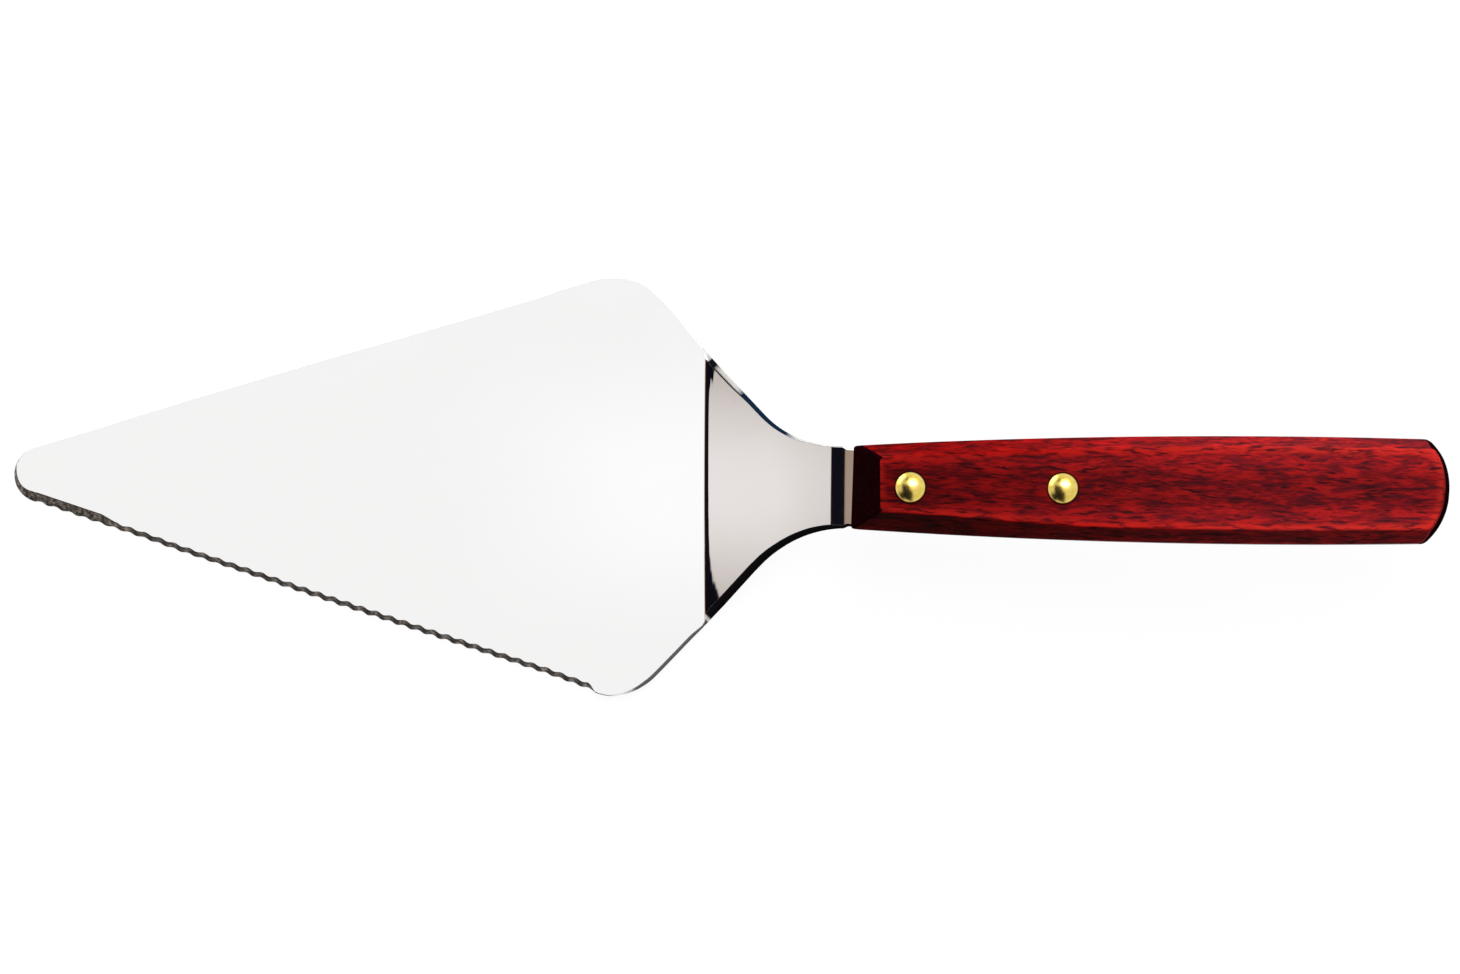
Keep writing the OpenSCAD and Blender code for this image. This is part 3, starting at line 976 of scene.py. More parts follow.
    def rows(self) -> np.ndarray:
        """Gives the places of the rows that cross the sheet, closest where it bends.

        Returns:
            Distances from the heel bend, rising.
        """
        turn = np.linspace(0, math.pi / 2 - self.wavy_slope, 16)
        tip = self.tip_x - self.tip_r * np.cos(turn)
        tooth_step = self.tooth_pitch * math.cos(self.wavy_slope) / self.steps_a_tooth
        wavy_end = self.wavy_start + (self.wavy_len + self.tooth_pitch / 2) * math.cos(self.wavy_slope)
        end_turn = np.linspace(0, math.pi / 2, 9)
        spans = [
            tip,
            np.arange(self.wavy_start + tooth_step, wavy_end, tooth_step),
            np.arange(wavy_end, -2.4 * MM, 0.5 * MM),
            np.arange(-2.4 * MM, 2.4 * MM, 0.08 * MM),
            np.arange(2.4 * MM, 23.6 * MM, 0.4 * MM),
            np.arange(23.6 * MM, 30.4 * MM, 0.12 * MM),
            np.arange(30.4 * MM, self.tang_end - self.tang_end_r, 1.0 * MM),
            self.tang_end - self.tang_end_r + self.tang_end_r * np.sin(end_turn),
        ]
        return np.concatenate(spans)

    def outline(self, rows: np.ndarray) -> tuple[np.ndarray, np.ndarray]:
        """Finds where the rows meet the outline.

        Args:
            rows: Distances from the heel bend, along the middle line.

        Returns:
            The points on the +Y side and those on the -Y side, from the tip back.
        """
        sides = []
        for sign, tip_y, trim in ((1, self.tip_side, self.upper_trim), (-1, -self.tip_side, self.lower_trim)):
            x = rows.copy()
            for _ in range(12):
                y = self.half_width(x, tip_y)
                x = np.minimum(rows + self.bow(y), self.tang_end)
                x[:16] = rows[:16]
            y = self.half_width(x, tip_y) - np.interp(x / MM, *zip(*trim)) * MM
            sides.append(np.stack([x, sign * y], axis=1))
        sides[1][0] = sides[0][0]
        return sides[0], sides[1]

    def edge_section(self, loop: np.ndarray, outward: np.ndarray) -> tuple[list[np.ndarray], list[np.ndarray],
                                                                           list[np.ndarray], np.ndarray]:
        """Works out the section of the sheet's edge at each point of the outline.

        Args:
            loop: The outline's points, from the tip along +Y and back along -Y.
            outward: The direction that faces outward at each.

        Returns:
            For each place round the section, from the top face to the underside: how far it
            lies inside the outline and how deep, both as columns, how ground it is, and how much
            of the dull sheared colour with its painted dark reflection it takes. Last, how much
            painted shade each point of the outline takes on a wave's dark flank.
        """
        t = self.sheet.thickness
        x, y = loop[:, 0], loop[:, 1]
        along = x - self.bow(y)
        upper = y > self.tip_side * np.clip(-x / self.length, 0, 1)
        travelled = np.concatenate([[0], np.cumsum(np.hypot(*np.diff(loop, axis=0).T))])
        closing = math.hypot(*(loop[0] - loop[-1]))
        lower_start = int(np.argmin(np.where(upper, np.inf, np.abs(x - self.wavy_start) + (x > -0.1) * 1.0)))
        from_start = travelled[lower_start] - travelled
        total = travelled[-1] + closing
        from_start = np.where(from_start > total / 2, from_start - total, from_start)
        wavy = (from_start > 0) & (from_start < self.wavy_len) & ~upper

        grind_w = np.interp(from_start / MM, *zip(*self.tip_grind), left=0.0, right=0.0) * MM
        margin = (self.wavy_len / self.tooth_pitch % 1) * self.tooth_pitch / 2
        drift = np.interp(from_start / MM, *zip(*self.tooth_drift)) * MM
        phase = 2 * math.pi * (from_start - margin - drift) / self.tooth_pitch
        inside = (phase > 0) & (phase < 2 * math.pi * (self.wavy_len // self.tooth_pitch))
        half_depth = np.interp(from_start / MM, *zip(*self.tooth_depth)) * MM / 2
        wave = self.tooth_inset - half_depth * np.where(inside, np.cos(phase), 1.0)
        # Painted shade share on each wave's falling flank.
        flank_shade = (0.5 + 0.5 * np.cos(phase + self.flank_turn)) * wavy * np.clip(3.2 - grind_w / (0.5 * MM), 0, 1)
        lead_in = np.clip(1 + from_start / (5 * MM), 0, 1)
        foot = np.where(wavy, wave, np.where(from_start <= 0, (self.tooth_inset - half_depth) * lead_in, 0))
        foot = np.where(grind_w + wavy > 0, foot, 0)
        ending = np.clip((self.wavy_len - from_start) / self.grind_ending, 0, 1)
        shoulder = np.where(wavy, wave + t * math.tan(self.grind_angle) * ending, 0)
        shoulder = np.maximum(shoulder, grind_w)
        ground = np.clip((shoulder - 0.15 * MM) / (0.25 * MM), 0, 1)

        bands = np.where(y > 0, np.interp(along / MM, *zip(*self.upper_band)),
                         np.interp(along / MM, *zip(*self.lower_band))) * MM
        neck = np.clip((along + 1 * MM) / (3 * MM), 0, 1) * np.clip((30 * MM - along) / (2 * MM), 0, 1)
        lean = t * np.sin(self.sheet.slope(along)) * np.clip(outward[:, 0], 0, 1)
        drop = (0.24 + 0.09 * neck) * MM
        rolled = np.clip((bands - 0.4 * MM) / (0.6 * MM), 0, 1)

        def blend(ground_value: np.ndarray, plain_value: np.ndarray) -> np.ndarray:
            """Takes the ground edge's value where the edge is ground."""
            return ground * ground_value + (1 - ground) * plain_value

        def column(inset: np.ndarray, depth: np.ndarray) -> np.ndarray:
            """Pairs insets with depths."""
            return np.stack([inset, depth + 0 * inset], axis=1)

        small, lip = 0.06 * MM, 0.08 * MM
        start = column(blend(shoulder, lean + bands), blend(0 * x, 0 * x))
        pull = column(
            blend((shoulder + foot) / 2, lean + bands * (0.05 + 0.45 * rolled)),
            blend(t / 2 + 0 * x, 0.10 * bands * rolled),
        )
        brow = column(blend(foot + small, lean + small), blend(t - 2 * lip + 0 * x, drop))
        below = column(blend(foot, lean * 0.8), blend(t - lip + 0 * x, drop + 0.12 * MM))
        low = column(blend(foot, 0.02 * MM + 0 * x), blend(t - 0.6 * lip + 0 * x, t - 0.22 * MM + 0 * x))
        corner = column(blend(foot, 0 * x), blend(t + 0 * x, t + 0 * x))
        under = column(blend(foot + lip, 0.24 * MM + 0 * x), t + 0 * x)
        inner = column(start[:, 0] + 0.04 * MM, 0 * x)

        middle = (brow + below) / 2
        middle[:, 0] = blend(foot + small / 3, lean)
        section = [inner, start, *bezier(start, pull, brow, 7), *bezier(brow, middle, below, 2), low,
                   *bezier(low, corner, under, 4)]
        count = len(section)
        # Shares of the dull sheared colour, which holds painted dark reflection: along the lower side, on the black
        # stretches of the upper side, and as a dark inner line inside the upper gleam.
        dull = np.interp(along / MM, (-17, -14, 0.3, 0.5, 0.7, 1.0), (0, 0.92, 0.92, 0.2, 0.2, 1))
        black = np.interp(along / MM, *zip(*self.upper_black))
        gleam = np.interp(along / MM, (0, 2, 9, 11), (0, 1, 1, 0))
        sheared_and_dark_reflection = []
        for place in range(count):
            shade = min(max(1.4 - 0.17 * place, 0.12), 1.0)
            share = np.where(y > 0, np.maximum(black, shade * gleam), dull)
            sheared_and_dark_reflection.append(share * (1 - ground) * (place > 0))
        grounds = [ground * (0 if place == 0 else 1) for place in range(count)]
        return section, grounds, sheared_and_dark_reflection, flank_shade

    def build(self, finish: bpy.types.Material) -> bpy.types.Object:
        """Makes the sheet's mesh.

        Args:
            finish: The steel.

        Returns:
            The piece, in the part's frame.
        """
        rows = self.rows()
        upper, lower = self.outline(rows)
        shares = np.linspace(0, 1, self.columns + 1)[1:-1, None]
        shares -= self.edge_crowding * np.sin(2 * math.pi * shares) / (2 * math.pi)
        end = upper[-1] * (1 - shares) + lower[-1] * shares
        loop = np.concatenate([upper, end, lower[:0:-1]])
        size = len(loop)
        ahead = np.roll(loop, -1, axis=0) - np.roll(loop, 1, axis=0)
        outward = np.stack([-ahead[:, 1], ahead[:, 0]], axis=1)
        outward /= np.linalg.norm(outward, axis=1)[:, None]
        section, grounds, sheared_and_reflection_shares, flank_shade = self.edge_section(loop, outward)

        points, ground, sheared_and_dark_reflection = [], [], []
        for place, grind, sheared_and_reflection_share in zip(section, grounds, sheared_and_reflection_shares):
            flat = loop - outward * place[:, :1]
            points.append(self.lifted(flat, place[:, 1]))
            ground.append(grind)
            sheared_and_dark_reflection.append(sheared_and_reflection_share)
        faces = []
        for ring in range(len(section) - 1):
            for a in range(size):
                b = (a + 1) % size
                faces.append((ring * size + a, ring * size + b, (ring + 1) * size + b, (ring + 1) * size + a))
        base = len(section) * size
        row_count = len(rows)
        for ring, depth, turned in ((0, 0.0, False), (len(section) - 1, self.sheet.thickness, True)):
            flat = loop - outward * section[ring][:, :1]
            table = [[ring * size] * (self.columns + 1)]
            inner_points = []
            for row in range(1, row_count):
                left = row
                right = (size - row) % size
                if row == row_count - 1:
                    table.append([ring * size + left + step for step in range(self.columns + 1)])
                    continue
                number = base + len(inner_points)
                table.append([ring * size + left, *range(number, number + self.columns - 1), ring * size + right])
                inner_points.extend(flat[left] * (1 - shares) + flat[right] * shares)
            inner = np.array(inner_points)
            points.append(self.lifted(inner, np.full(len(inner), depth)))
            ground.append(np.zeros(len(inner)))
            sheared_and_dark_reflection.append(np.zeros(len(inner)))
            base += len(inner)
            for row in range(row_count - 1):
                for step in range(self.columns):
                    corners = [table[row][step], table[row][step + 1], table[row + 1][step + 1], table[row + 1][step]]
                    corners = list(dict.fromkeys(corners))
                    faces.append(tuple(corners if turned else corners[::-1]))
        piece = mesh_piece("bent_blade", np.concatenate(points), faces, [finish])
        piece.data.flip_normals()
        set_attribute(piece, "ground", np.concatenate(ground))
        set_attribute(piece, "sheared_and_dark_reflection", np.concatenate(sheared_and_dark_reflection))
        flank_shades = np.zeros(len(piece.data.vertices))
        flank_shades[:len(section) * size] = np.tile(flank_shade, len(section))
        set_attribute(piece, "flank_shade", flank_shades)
        return piece

    def lifted(self, flat: np.ndarray, depth: np.ndarray) -> np.ndarray:
        """Puts plan points on the bent sheet, in the part's frame.

        Args:
            flat: Points seen from above, from the heel bend.
            depth: Their depths under the top face.

        Returns:
            The points, in metres.
        """
        along = flat[:, 0] - self.bow(flat[:, 1])
        height = self.sheet.height(along, depth) - self.sheet.softening(along, flat[:, 1])
        skewed = flat[:, 1] * np.interp(along / MM, *zip(*self.skew)) / 100
        return np.stack([flat[:, 0] - skewed + self.heel_x, flat[:, 1], height], axis=1)


@dataclass
class Handle:
    """The bevelled wooden handle, slotted for the tang and drilled for the rivets."""

    sheet: SheetSide
    tang_len: float
    rivet_places: tuple[float, float]
    length: float = 117.0 * MM
    thickness: float = 15.0 * MM
    width: float = 21.1 * MM
    front_w: float = 16.4 * MM
    widest: float = 80.6 * MM
    butt_r: float = 13.2 * MM
    bevel_angle: float = math.radians(54.0)
    upper_bevel: Profile = field(default_factory=lambda: [
        (0.0, 3.0), (7.0, 2.55), (16.0, 2.35), (48.0, 2.3), (78.0, 2.2), (117.0, 2.25),
    ])
    lower_bevel: Profile = field(default_factory=lambda: [
        (0.0, 3.35), (7.0, 3.75), (16.0, 3.65), (26.0, 3.4), (38.0, 2.95), (48.0, 2.65), (117.0, 2.6),
    ])
    front_land: float = 5.0 * MM
    front_bevel: float = 6.0 * MM
    front_skew: float = 0.2 * MM
    butt_bevel: float = 0.3 * MM
    butt_bevel_drop: float = 3.17 * MM
    butt_fuller: Profile = field(default_factory=lambda: [(-40.0, 0.0), (0.0, 0.12), (15.0, 0.38), (29.0, 0.65), (50.0, 0.65)])
    soft_r: float = 0.55 * MM
    kerf_t: float = 1.7 * MM
    kerf_spare: float = 4.0 * MM
    saw_r: float = 60.0 * MM
    bore_r: float = 2.02 * MM
    rubbed_rim: float = 0.9 * MM
    corner_rim: float = 3.6 * MM
    shade_along: Profile = field(default_factory=lambda: [(8.0, 1.0), (50.0, 0.75), (110.0, 0.6)])
    shade_across: Profile = field(default_factory=lambda: [(0.0, 0.7), (0.8, 0.85), (2.4, 1.0)])
    shade_edge: float = 0.2 * MM
    side_steps: int = 110
    corner_steps: int = 5

    def placement(self) -> Matrix:
        """Gives where the handle's own frame stands: X along it from its front end."""
        blade_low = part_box("blade")[0].x
        heel_x = blade_low + Blade.length
        origin = Vector((heel_x + self.sheet.wood_x, 0.0, self.sheet.wood_z))
        return Matrix.Translation(origin) @ Matrix.Rotation(-self.sheet.tang_angle, 4, "Y")

    def half_width(self, x: np.ndarray) -> np.ndarray:
        """Gives half the handle's width at places along it."""
        sag = (self.width - self.front_w) / 2
        radius = (self.widest**2 + sag**2) / (2 * sag)
        return self.width / 2 - radius + np.sqrt(radius**2 - (x - self.widest) ** 2)

    def inset(self, z: float, run: np.ndarray, drop: np.ndarray) -> np.ndarray:
        """Gives how far a softened bevel lies inside the outline at a height.

        Args:
            z: The height above the middle of the handle.
            run: The bevel's width, seen from above.
            drop: The bevel's height.

        Returns:
            The inset.
        """
        top = self.thickness / 2
        angle = np.arctan2(drop, run)
        foot = top - drop
        r = self.soft_r
        low_reach = r * np.tan((math.pi / 2 - angle) / 2)
        high_reach = r * np.tan(angle / 2)
        straight = np.maximum(z - foot, 0) / np.tan(angle)
        low_z = np.clip(z - (foot - low_reach), 0, r)
        low = r - np.sqrt(np.clip(r * r - low_z * low_z, 0, None))
        high_z = np.clip(z - (top - r), -r, r)
        high = run + high_reach - np.sqrt(np.clip(r * r - high_z * high_z, 0, None))
        in_low = (z > foot - low_reach) & (z < foot + low_reach * np.sin(angle))
        in_high = z > top - high_reach * np.sin(angle)
        return np.where(in_high, high, np.where(in_low, low, straight))

    def side(self, x: np.ndarray, z: float, bevel: Profile, phase: float) -> np.ndarray:
        """Gives how far a long side lies from the middle line at a height.

        Args:
            x: Places along the handle.
            z: The height above its middle.
            bevel: The bevel's width along the handle, in millimetres.
            phase: Shifts the slight unevenness that hand work leaves in the bevel.

        Returns:
            The distances.
        """
        run = np.interp(x / MM, *zip(*bevel))
        run = run + 0.05 * np.sin(x / MM * 0.31 + phase) + 0.035 * np.sin(x / MM * 0.83 + 2 * phase)
        run = run * MM
        return self.half_width(x) - self.inset(z, run, run * math.tan(self.bevel_angle))

    def level(self, z: float, extra: float) -> tuple[np.ndarray, list[int]]:
        """Draws the handle's outline at one height.

        Args:
            z: The height above or below its middle.
            extra: How far the outline is drawn in all round.

        Returns:
            The outline's points, and for each the material slot: 0 for the wood of the long
            sides and of the butt's rubbed rim, and 1 for the cut ends.
        """
        high = abs(z)
        top = self.thickness / 2
        front_x = float(self.inset(high, self.front_bevel, top - self.front_land / 2)) + extra
        butt_radius = self.butt_r - float(self.inset(high, self.butt_bevel, self.butt_bevel_drop)) - extra
        butt_x = self.length - self.butt_r
        lean = 1 - 1.5 * max(high - self.front_land / 2, 0) / (top - self.front_land / 2)
        loops, ends = [], []
        sides = []
        for sign, bevel, phase in ((1, self.upper_bevel, 0.7), (-1, self.lower_bevel, 2.1)):
            low, high_x = butt_x, self.length
            for _ in range(40):
                guess = (low + high_x) / 2
                reach = float(self.side(np.array(guess), high, bevel, phase)) - extra
                turn = math.atan2(sign * reach, guess - butt_x)
                if math.hypot(guess - butt_x, reach) < butt_radius + self.fuller(turn):
                    low = guess
                else:
                    high_x = guess
            shares = np.linspace(0, 1, self.side_steps)
            start = front_x + sign * self.front_skew * lean - self.front_skew / 2
            x = start + (low - start) * shares
            y = sign * (self.side(x, high, bevel, phase) - extra)
            sides.append(np.stack([x, y], axis=1))
        turns = [math.atan2(side[-1, 1], side[-1, 0] - butt_x) for side in sides]
        arc = np.linspace(turns[0], turns[1], 33)
        radii = butt_radius + self.fuller(arc)
        butt = np.stack([butt_x + radii * np.cos(arc), radii * np.sin(arc)], axis=1)
        front = np.linspace(sides[1][0], sides[0][0], 9)
        rim = int(high < top - self.rubbed_rim)
        low_rim = int(high < top - self.corner_rim)
        runs = [(sides[0], 0, rim), (butt, rim, low_rim), (sides[1][::-1], 0, 1), (front, 1, 1)]
        cut = 0.7 * MM
        for (run, end, corner_end), (following, _, _) in zip(runs, runs[1:] + runs[:1]):
            body = self.shortened(run, cut)
            loops.append(body)
            ends += [end] * len(body)
            start = body[-1:]
            finish = self.shortened(following, cut)[:1]
            corner = bezier(start, run[-1:], finish, self.corner_steps)[:-1]
            loops += corner
            ends += [corner_end] * len(corner)
        return np.concatenate(loops), ends

    def fuller(self, turn: np.ndarray | float) -> np.ndarray:
        """Gives how far the butt's arc stands out at an angle from the middle line."""
        return np.interp(np.degrees(turn), *zip(*self.butt_fuller)) * MM

    @staticmethod
    def shortened(run: np.ndarray, cut: float) -> np.ndarray:
        """Shortens a row of points at both ends and spreads them evenly.

        Args:
            run: The points.
            cut: How much goes from each end.

        Returns:
            As many points on the shorter row.
        """
        lengths = np.concatenate([[0], np.cumsum(np.hypot(*np.diff(run, axis=0).T))])
        wanted = np.linspace(cut, lengths[-1] - cut, len(run))
        return np.stack([np.interp(wanted, lengths, run[:, axis]) for axis in (0, 1)], axis=1)

    def heights(self) -> list[tuple[float, float, float]]:
        """Lists the levels of the mesh, from the middle of the underside to that of the top.

        Returns:
            Height, extra inset and how rubbed the stain is, for each level.
        """
        top = self.thickness / 2
        foot = self.front_land / 2
        steps = [(0.0, 0.0, 0.0), (1.2 * MM, 0.0, 0.0), (foot - 0.5 * MM, 0.0, 0.0)]
        steps += [(float(z), 0.0, 0.0) for z in np.arange(foot - 0.3 * MM, 5.4 * MM, 0.16 * MM)]
        steps += [(5.8 * MM, 0.0, 0.0), (6.3 * MM, 0.0, 0.0), (6.55 * MM, 0.0, 0.05), (7.0 * MM, 0.0, 0.2)]
        for turn in (72, 60, 50, 40, 30, 20, 10):
            z = top - self.soft_r * (1 - math.cos(math.radians(turn)))
            steps.append((z, 0.0, 0.9 - turn / 100))
        steps += [(top, 0.0, 0.9), (top, 0.25 * MM, 1.0), (top, 0.6 * MM, 0.7), (top, 1.4 * MM, 0.0)]
        steps = sorted(steps)
        under = [(-z, extra, rub) for z, extra, rub in steps[:0:-1]]
        return under + steps

    def build(self, wood: bpy.types.Material, ends: bpy.types.Material) -> bpy.types.Object:
        """Makes the handle's mesh and cuts its slot and holes.

        Args:
            wood: The finish of the long faces.
            ends: The finish of the cut ends.

        Returns:
            The piece, placed in the part's frame.
        """
        levels = [(z, rub, *self.level(z, extra)) for z, extra, rub in self.heights()]
        size = len(levels[0][2])
        points = np.concatenate([
            np.concatenate([outline, np.full((size, 1), z)], axis=1) for z, _, outline, _ in levels
        ])
        rubbed = np.repeat([rub for _, rub, _, _ in levels], size)
        faces, kinds = [], []
        for ring in range(len(levels) - 1):
            for a in range(size):
                b = (a + 1) % size
                faces.append((ring * size + b, ring * size + a, (ring + 1) * size + a, (ring + 1) * size + b))
                flat_ring = abs(abs(levels[ring][0]) - self.thickness / 2) < 1e-9 and abs(
                    abs(levels[ring + 1][0]) - self.thickness / 2) < 1e-9
                kinds.append(0 if flat_ring else levels[ring][3][a])
        last = (len(levels) - 1) * size
        faces += [tuple(range(size)), tuple(range(last + size - 1, last - 1, -1))]
        kinds += [0, 0]
        piece = mesh_piece("stained_handle", points, faces, [wood, ends])
        piece.data.polygons.foreach_set("material_index", kinds)
        set_attribute(piece, "rubbed", rubbed)
        # Painted shade share on the -Y side, strongest near the front and fading at the top and bottom faces.
        inward = (self.half_width(points[:, 0]) + points[:, 1]) / MM
        painted_low_side_shade = np.interp(points[:, 0] / MM, *zip(*self.shade_along)) * np.interp(inward, *zip(*self.shade_across))
        painted_low_side_shade *= np.clip((self.thickness / 2 - np.abs(points[:, 2])) / self.shade_edge, 0, 1) * (points[:, 1] < 0)
        set_attribute(piece, "painted_low_side_shade", painted_low_side_shade)
        place = self.placement()
        piece.matrix_world = place
        kerf_end = self.tang_len + self.kerf_spare
        cutters = [disc_cutter(self.saw_r, self.kerf_t, (kerf_end - self.saw_r, 0.0), 256, place)]
        cutters += [disc_cutter(self.bore_r, 2 * self.thickness, (x, 0.0), 48, place) for x in self.rivet_places]
        subtract(piece, cutters)
        return piece


@dataclass
class Rivet:
    """One half of a rivet: a domed head with a post, or with the tube that takes it."""

    half: RivetHalf
    handle_t: float = 15.0 * MM
    head_r: float = 3.0 * MM
    head_h: float = 1.5 * MM
    rim_h: float = 0.3 * MM
    rim_soft: float = 0.12 * MM
    sleeve_r: float = 2.0 * MM
    post_r: float = 1.25 * MM
    post_fit: float = 0.02 * MM
    sleeve_gap: float = 1.0 * MM
    sleeve_floor: float = 1.5 * MM
    post_end_fit: float = 0.5 * MM
    segments: int = 72

    def head(self) -> Profile:
        """Draws the head's outline, from its rim at the seat to the top of the dome.

        Returns:
            Radius and height of each point above the seat.
        """
        cap = self.head_h - self.rim_h
        radius = (self.head_r**2 + cap**2) / (2 * cap)
        edge = math.asin((self.head_r - self.rim_soft) / radius)
        dome = [
            (radius * math.sin(turn), self.head_h - radius * (1 - math.cos(turn)))
            for turn in np.linspace(edge, 0, 16)
        ]
        return [(self.head_r - 0.05 * MM, 0.0), (self.head_r, 0.06 * MM), (self.head_r, self.rim_h * 0.75),
                (self.head_r - 0.03 * MM, self.rim_h + 0.03 * MM), *dome[:-1], (0.0, self.head_h)]

    def profile(self) -> Profile:
        """Draws the whole half, with its seat at zero and its head above it.

        Returns:
            Radius and height of each point, from the shaft's end to the top of the dome.
        """
        if self.half is RivetHalf.POST:
            end = self.sleeve_floor + self.post_end_fit - self.handle_t
            shaft = [(0.0, end), (self.post_r - 0.2 * MM, end), (self.post_r, end + 0.3 * MM), (self.post_r, 0.0)]
        else:
            mouth = self.sleeve_gap - self.handle_t
            bore = self.post_r + self.post_fit
            shaft = [(0.0, -self.sleeve_floor), (bore, -self.sleeve_floor), (bore, mouth),
                     (self.sleeve_r - 0.1 * MM, mouth), (self.sleeve_r, mouth + 0.15 * MM), (self.sleeve_r, 0.0)]
        return shaft + self.head()

    def build(self, name: str, place: Matrix, finish: bpy.types.Material) -> bpy.types.Object:
        """Makes the piece.

        Args:
            name: Its name.
            place: The handle's frame at the rivet.
            finish: The brass.

        Returns:
            The piece, with its head on the top of the handle or on its underside.
        """
        points, faces = revolved(self.profile(), self.segments)
        piece = mesh_piece(name, points, faces, [finish])
        piece.data.flip_normals()
        seat = Matrix.Translation((0.0, 0.0, self.handle_t / 2))
        if self.half is RivetHalf.SLEEVE:
            seat = Matrix.Rotation(math.pi, 4, "X") @ seat
        piece.matrix_world = place @ seat
        return piece


@dataclass
class Studio:
    """The pale floor, the sky of soft lights, the key lamp and the camera."""

    floor_r: float = 7.0
    floor_gap: float = 0.2 * MM
    paper_share: float = 0.92
    box_size: tuple[float, float] = (0.255, 0.45)
    side_light: Colour = (0.84, 0.84, 0.85)
    core_light: Colour = (7.0, 7.0, 7.6)
    low_panel: Colour = (0.825, 0.778, 0.763)
    horizon_light: Colour = (4.2, 4.2, 4.4)
    table_light: Colour = (0.80, 0.78, 0.74)
    screen: Colour = (0.020, 0.028, 0.060)
    key_from: tuple[float, float, float] = (0.22, 0.86, 0.46)
    key_distance: float = 2.0
    key_size: float = 0.8
    key_power: float = 38.0
    view_centre: tuple[float, float] = (1.10 * MM, 0.24 * MM)
    view_width: float = 292.0 * MM
    camera_from: tuple[float, float, float] = (-0.0080, -0.0340, 1.4996)
    camera_roll: float = math.radians(0.6)
    sensor: float = 36.0

    def floor(self) -> None:
        """Lays the floor, pale as paper and white to the camera and in reflections."""
        points, faces = revolved([(0.0, 0.0), (self.floor_r, 0.0)], 64)
        material, nodes = new_material("studio_floor")
        rays = nodes.add("LightPath")
        seen = nodes.math("MAXIMUM", rays.outputs["Is Camera Ray"], rays.outputs["Is Glossy Ray"])
        seen = nodes.math("MAXIMUM", seen, rays.outputs["Is Transmission Ray"])
        paper = nodes.add("BsdfDiffuse")
        place = nodes.millimetres()
        fibre = nodes.noise(place, (0.8, 0.8, 0.8), detail=3.0)
        nodes.put(paper.inputs["Color"], nodes.mix(fibre, (0.86, 0.86, 0.86), (0.90, 0.90, 0.90)))
        white = nodes.add("Emission")
        nodes.put(white.inputs["Strength"], 1.0)
        both = nodes.add("MixShader")
        nodes.put(both.inputs["Fac"], nodes.math("MULTIPLY", seen, self.paper_share))
        nodes.put(both.inputs[1], paper.outputs[0])
        nodes.put(both.inputs[2], white.outputs[0])
        nodes.put(nodes.add("OutputMaterial").inputs["Surface"], both.outputs[0])
        floor = mesh_piece("studio_floor", points, faces, [material])
        floor.location.z = -self.floor_gap

    def sky(self) -> None:
        """Fills the world with an overhead softbox, a low panel and dim surroundings."""
        world = bpy.data.worlds.new("studio")
        bpy.context.scene.world = world
        world.use_nodes = True
        nodes = Nodes(world.node_tree)
        axes = nodes.add("SeparateXYZ")
        nodes.put(axes.inputs[0], nodes.add("TexCoord").outputs["Generated"])
        x, y, z = (axes.outputs[name] for name in "XYZ")
        up = nodes.math("MAXIMUM", z, 0.05)
        east, north = nodes.math("DIVIDE", x, up), nodes.math("DIVIDE", y, up)

        def oval(centre: tuple[float, float], radii: tuple[float, float]) -> bpy.types.NodeSocket:
            """Gives how far a direction lies from an overhead oval's centre, 1 on its edge."""
            a = nodes.math("DIVIDE", nodes.math("SUBTRACT", east, centre[0]), radii[0])
            b = nodes.math("DIVIDE", nodes.math("SUBTRACT", north, centre[1]), radii[1])
            return nodes.math("SQRT", nodes.math("ADD", nodes.math("MULTIPLY", a, a), nodes.math("MULTIPLY", b, b)))

        edge = oval((0.0, 0.15), self.box_size)
        box = nodes.ramp(
            nodes.math("MULTIPLY", nodes.math("SUBTRACT", edge, 0.5), 1 / 1.2, clamp=True),
            [(0.0, (1.0, 1.0, 1.0)), (0.12, (1.0, 1.0, 1.0)), (0.24, (0.98, 0.80, 0.74)), (0.40, (0.90, 0.66, 0.58)),
             (0.48, (0.46, 0.34, 0.27)), (0.565, (0.37, 0.28, 0.22)), (0.685, (0.30, 0.20, 0.16)),
             (0.775, (0.014, 0.010, 0.012)), (1.0, (0.006, 0.005, 0.009))],
        )
        core = nodes.span(oval((0.05, 0.56), (0.43, 0.43)), 1.15, 0.75)
        height = nodes.math("ARCSINE", z)
        side = nodes.math("ARCTAN2", y, nodes.math("MULTIPLY", x, -1.0))

        def patch(*edges: tuple[float, float, float, float]) -> bpy.types.NodeSocket:
            """Gives a patch of sky, from the degrees where it starts, is full, fades and ends, round and up."""
            share: float | bpy.types.NodeSocket = 1.0
            for angle, (start, full, fade, end) in zip((side, height), edges):
                for outer, inner in ((start, full), (end, fade)):
                    step = nodes.span(angle, math.radians(outer), math.radians(inner))
                    share = nodes.math("MULTIPLY", step, share)
            return share

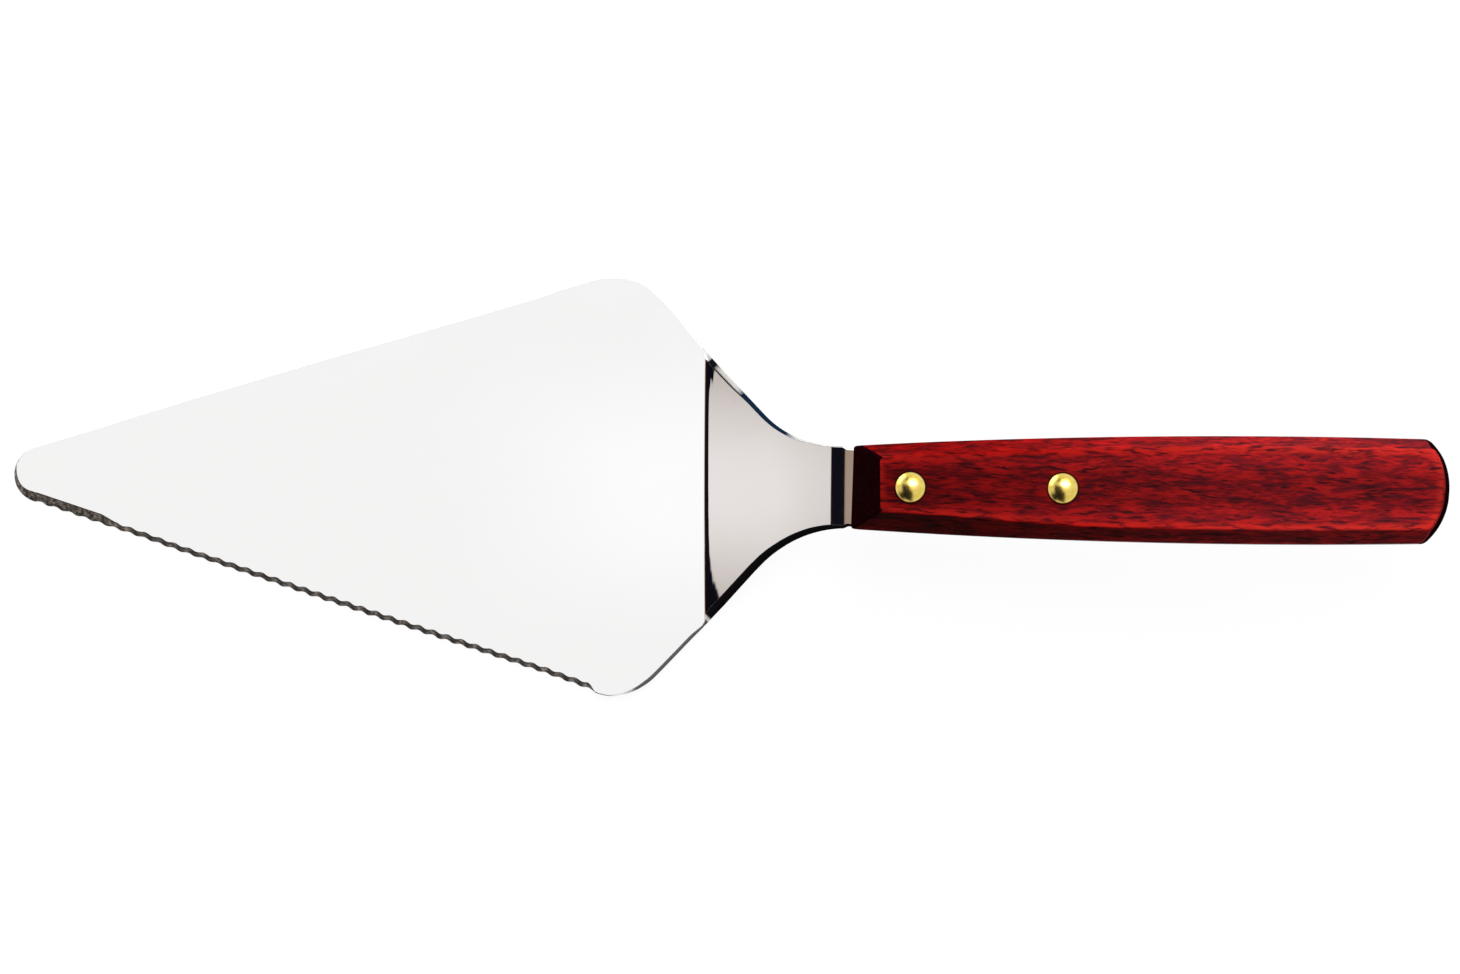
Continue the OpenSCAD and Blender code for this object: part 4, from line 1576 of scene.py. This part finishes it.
        light = nodes.mix(nodes.span(edge, 0.9, 1.2), (1.0, 1.0, 1.0), self.side_light)
        colour = nodes.mix(patch((-102, -82, 14, 32)), light, box)
        colour = nodes.mix(patch((36, 44, 62, 70), (26, 30, 40, 44)), colour, self.screen)
        colour = nodes.mix(core, colour, self.core_light)
        colour = nodes.mix(patch((-34, -8, 30, 52), (-91, -90, 31.2, 33.8)), colour, self.low_panel)
        colour = nodes.mix(patch((-108, -98, -60, -50), (-91, -90, 9, 17)), colour, self.table_light)
        colour = nodes.mix(patch((10, 22, 50, 66), (-91, -90, 12, 22)), colour, self.horizon_light)
        background = nodes.add("Background")
        nodes.put(background.inputs["Color"], colour)
        nodes.put(background.inputs["Strength"], 1.0)
        nodes.put(nodes.add("OutputWorld").inputs["Surface"], background.outputs[0])

    def key_lamp(self) -> None:
        """Hangs the large soft lamp that lights the wood from behind."""
        data = bpy.data.lights.new("key_lamp", "AREA")
        data.shape = "SQUARE"
        data.size = self.key_size
        data.energy = self.key_power
        lamp = bpy.data.objects.new("key_lamp", data)
        bpy.context.scene.collection.objects.link(lamp)
        direction = Vector(self.key_from).normalized()
        lamp.location = direction * self.key_distance
        lamp.rotation_mode = "QUATERNION"
        lamp.rotation_quaternion = direction.to_track_quat("Z", "Y")
        lamp.visible_glossy = False

    def camera(self) -> None:
        """Places the camera above the server, as in the photograph."""
        data = bpy.data.cameras.new("camera")
        camera = bpy.data.objects.new("camera", data)
        bpy.context.scene.collection.objects.link(camera)
        target = Vector((*self.view_centre, 0.0))
        back = Vector(self.camera_from)
        direction = back.normalized()
        up = Vector((-math.sin(self.camera_roll), math.cos(self.camera_roll), 0.0))
        right = up.cross(direction).normalized()
        up = direction.cross(right)
        turn = Matrix((right, up, direction)).transposed().to_4x4()
        camera.matrix_world = Matrix.Translation(target + back) @ turn
        data.sensor_width = self.sensor
        data.lens = self.sensor * back.length / self.view_width
        data.clip_start, data.clip_end = 0.01, 50.0
        bpy.context.scene.camera = camera

    def build(self) -> None:
        """Sets the whole studio up."""
        self.floor()
        self.sky()
        self.key_lamp()
        self.camera()
        bpy.context.scene.view_settings.view_transform = "Standard"
        log.info("studio: floor, sky, key lamp and camera")


@dataclass
class CakeServer:
    """The whole server: one bent sheet, one handle and two rivets of two halves each."""

    front_rivet: float = 12.1 * MM
    rivet_spacing: float = 30.1 * MM
    tang_past_rivet: float = 8.0 * MM

    def build(self) -> None:
        """Builds every piece and dresses it."""
        places = (self.front_rivet, self.front_rivet + self.rivet_spacing)
        tang_len = places[1] + self.tang_past_rivet
        sheet = SheetSide()
        handle = Handle(sheet, tang_len, places)
        blade = Blade(sheet, tang_len, places)
        steel, brass = PolishedSteel().material(), PolishedBrass().material()
        blade_piece = blade.build(steel)
        place = handle.placement()
        subtract(blade_piece, [disc_cutter(2.1 * MM, 4 * MM, (x, 0.0), 48, place) for x in places])
        finish_piece(blade_piece, "blade")
        handle_piece = handle.build(StainedWood().material(), EndGrain().material())
        finish_piece(handle_piece, "handle")
        for label, x in zip(("front", "rear"), places):
            for half in RivetHalf:
                piece = Rivet(half).build(f"{label}_brass_{half.value}", place @ Matrix.Translation((x, 0, 0)), brass)
                finish_piece(piece, f"{label}_rivet_{half.value}")


def main() -> None:
    """Builds the studio and the server in order."""
    logging.basicConfig(level=logging.INFO, format="%(name)s: %(message)s")
    Studio().build()
    CakeServer().build()


if __name__ == "__main__":
    main()
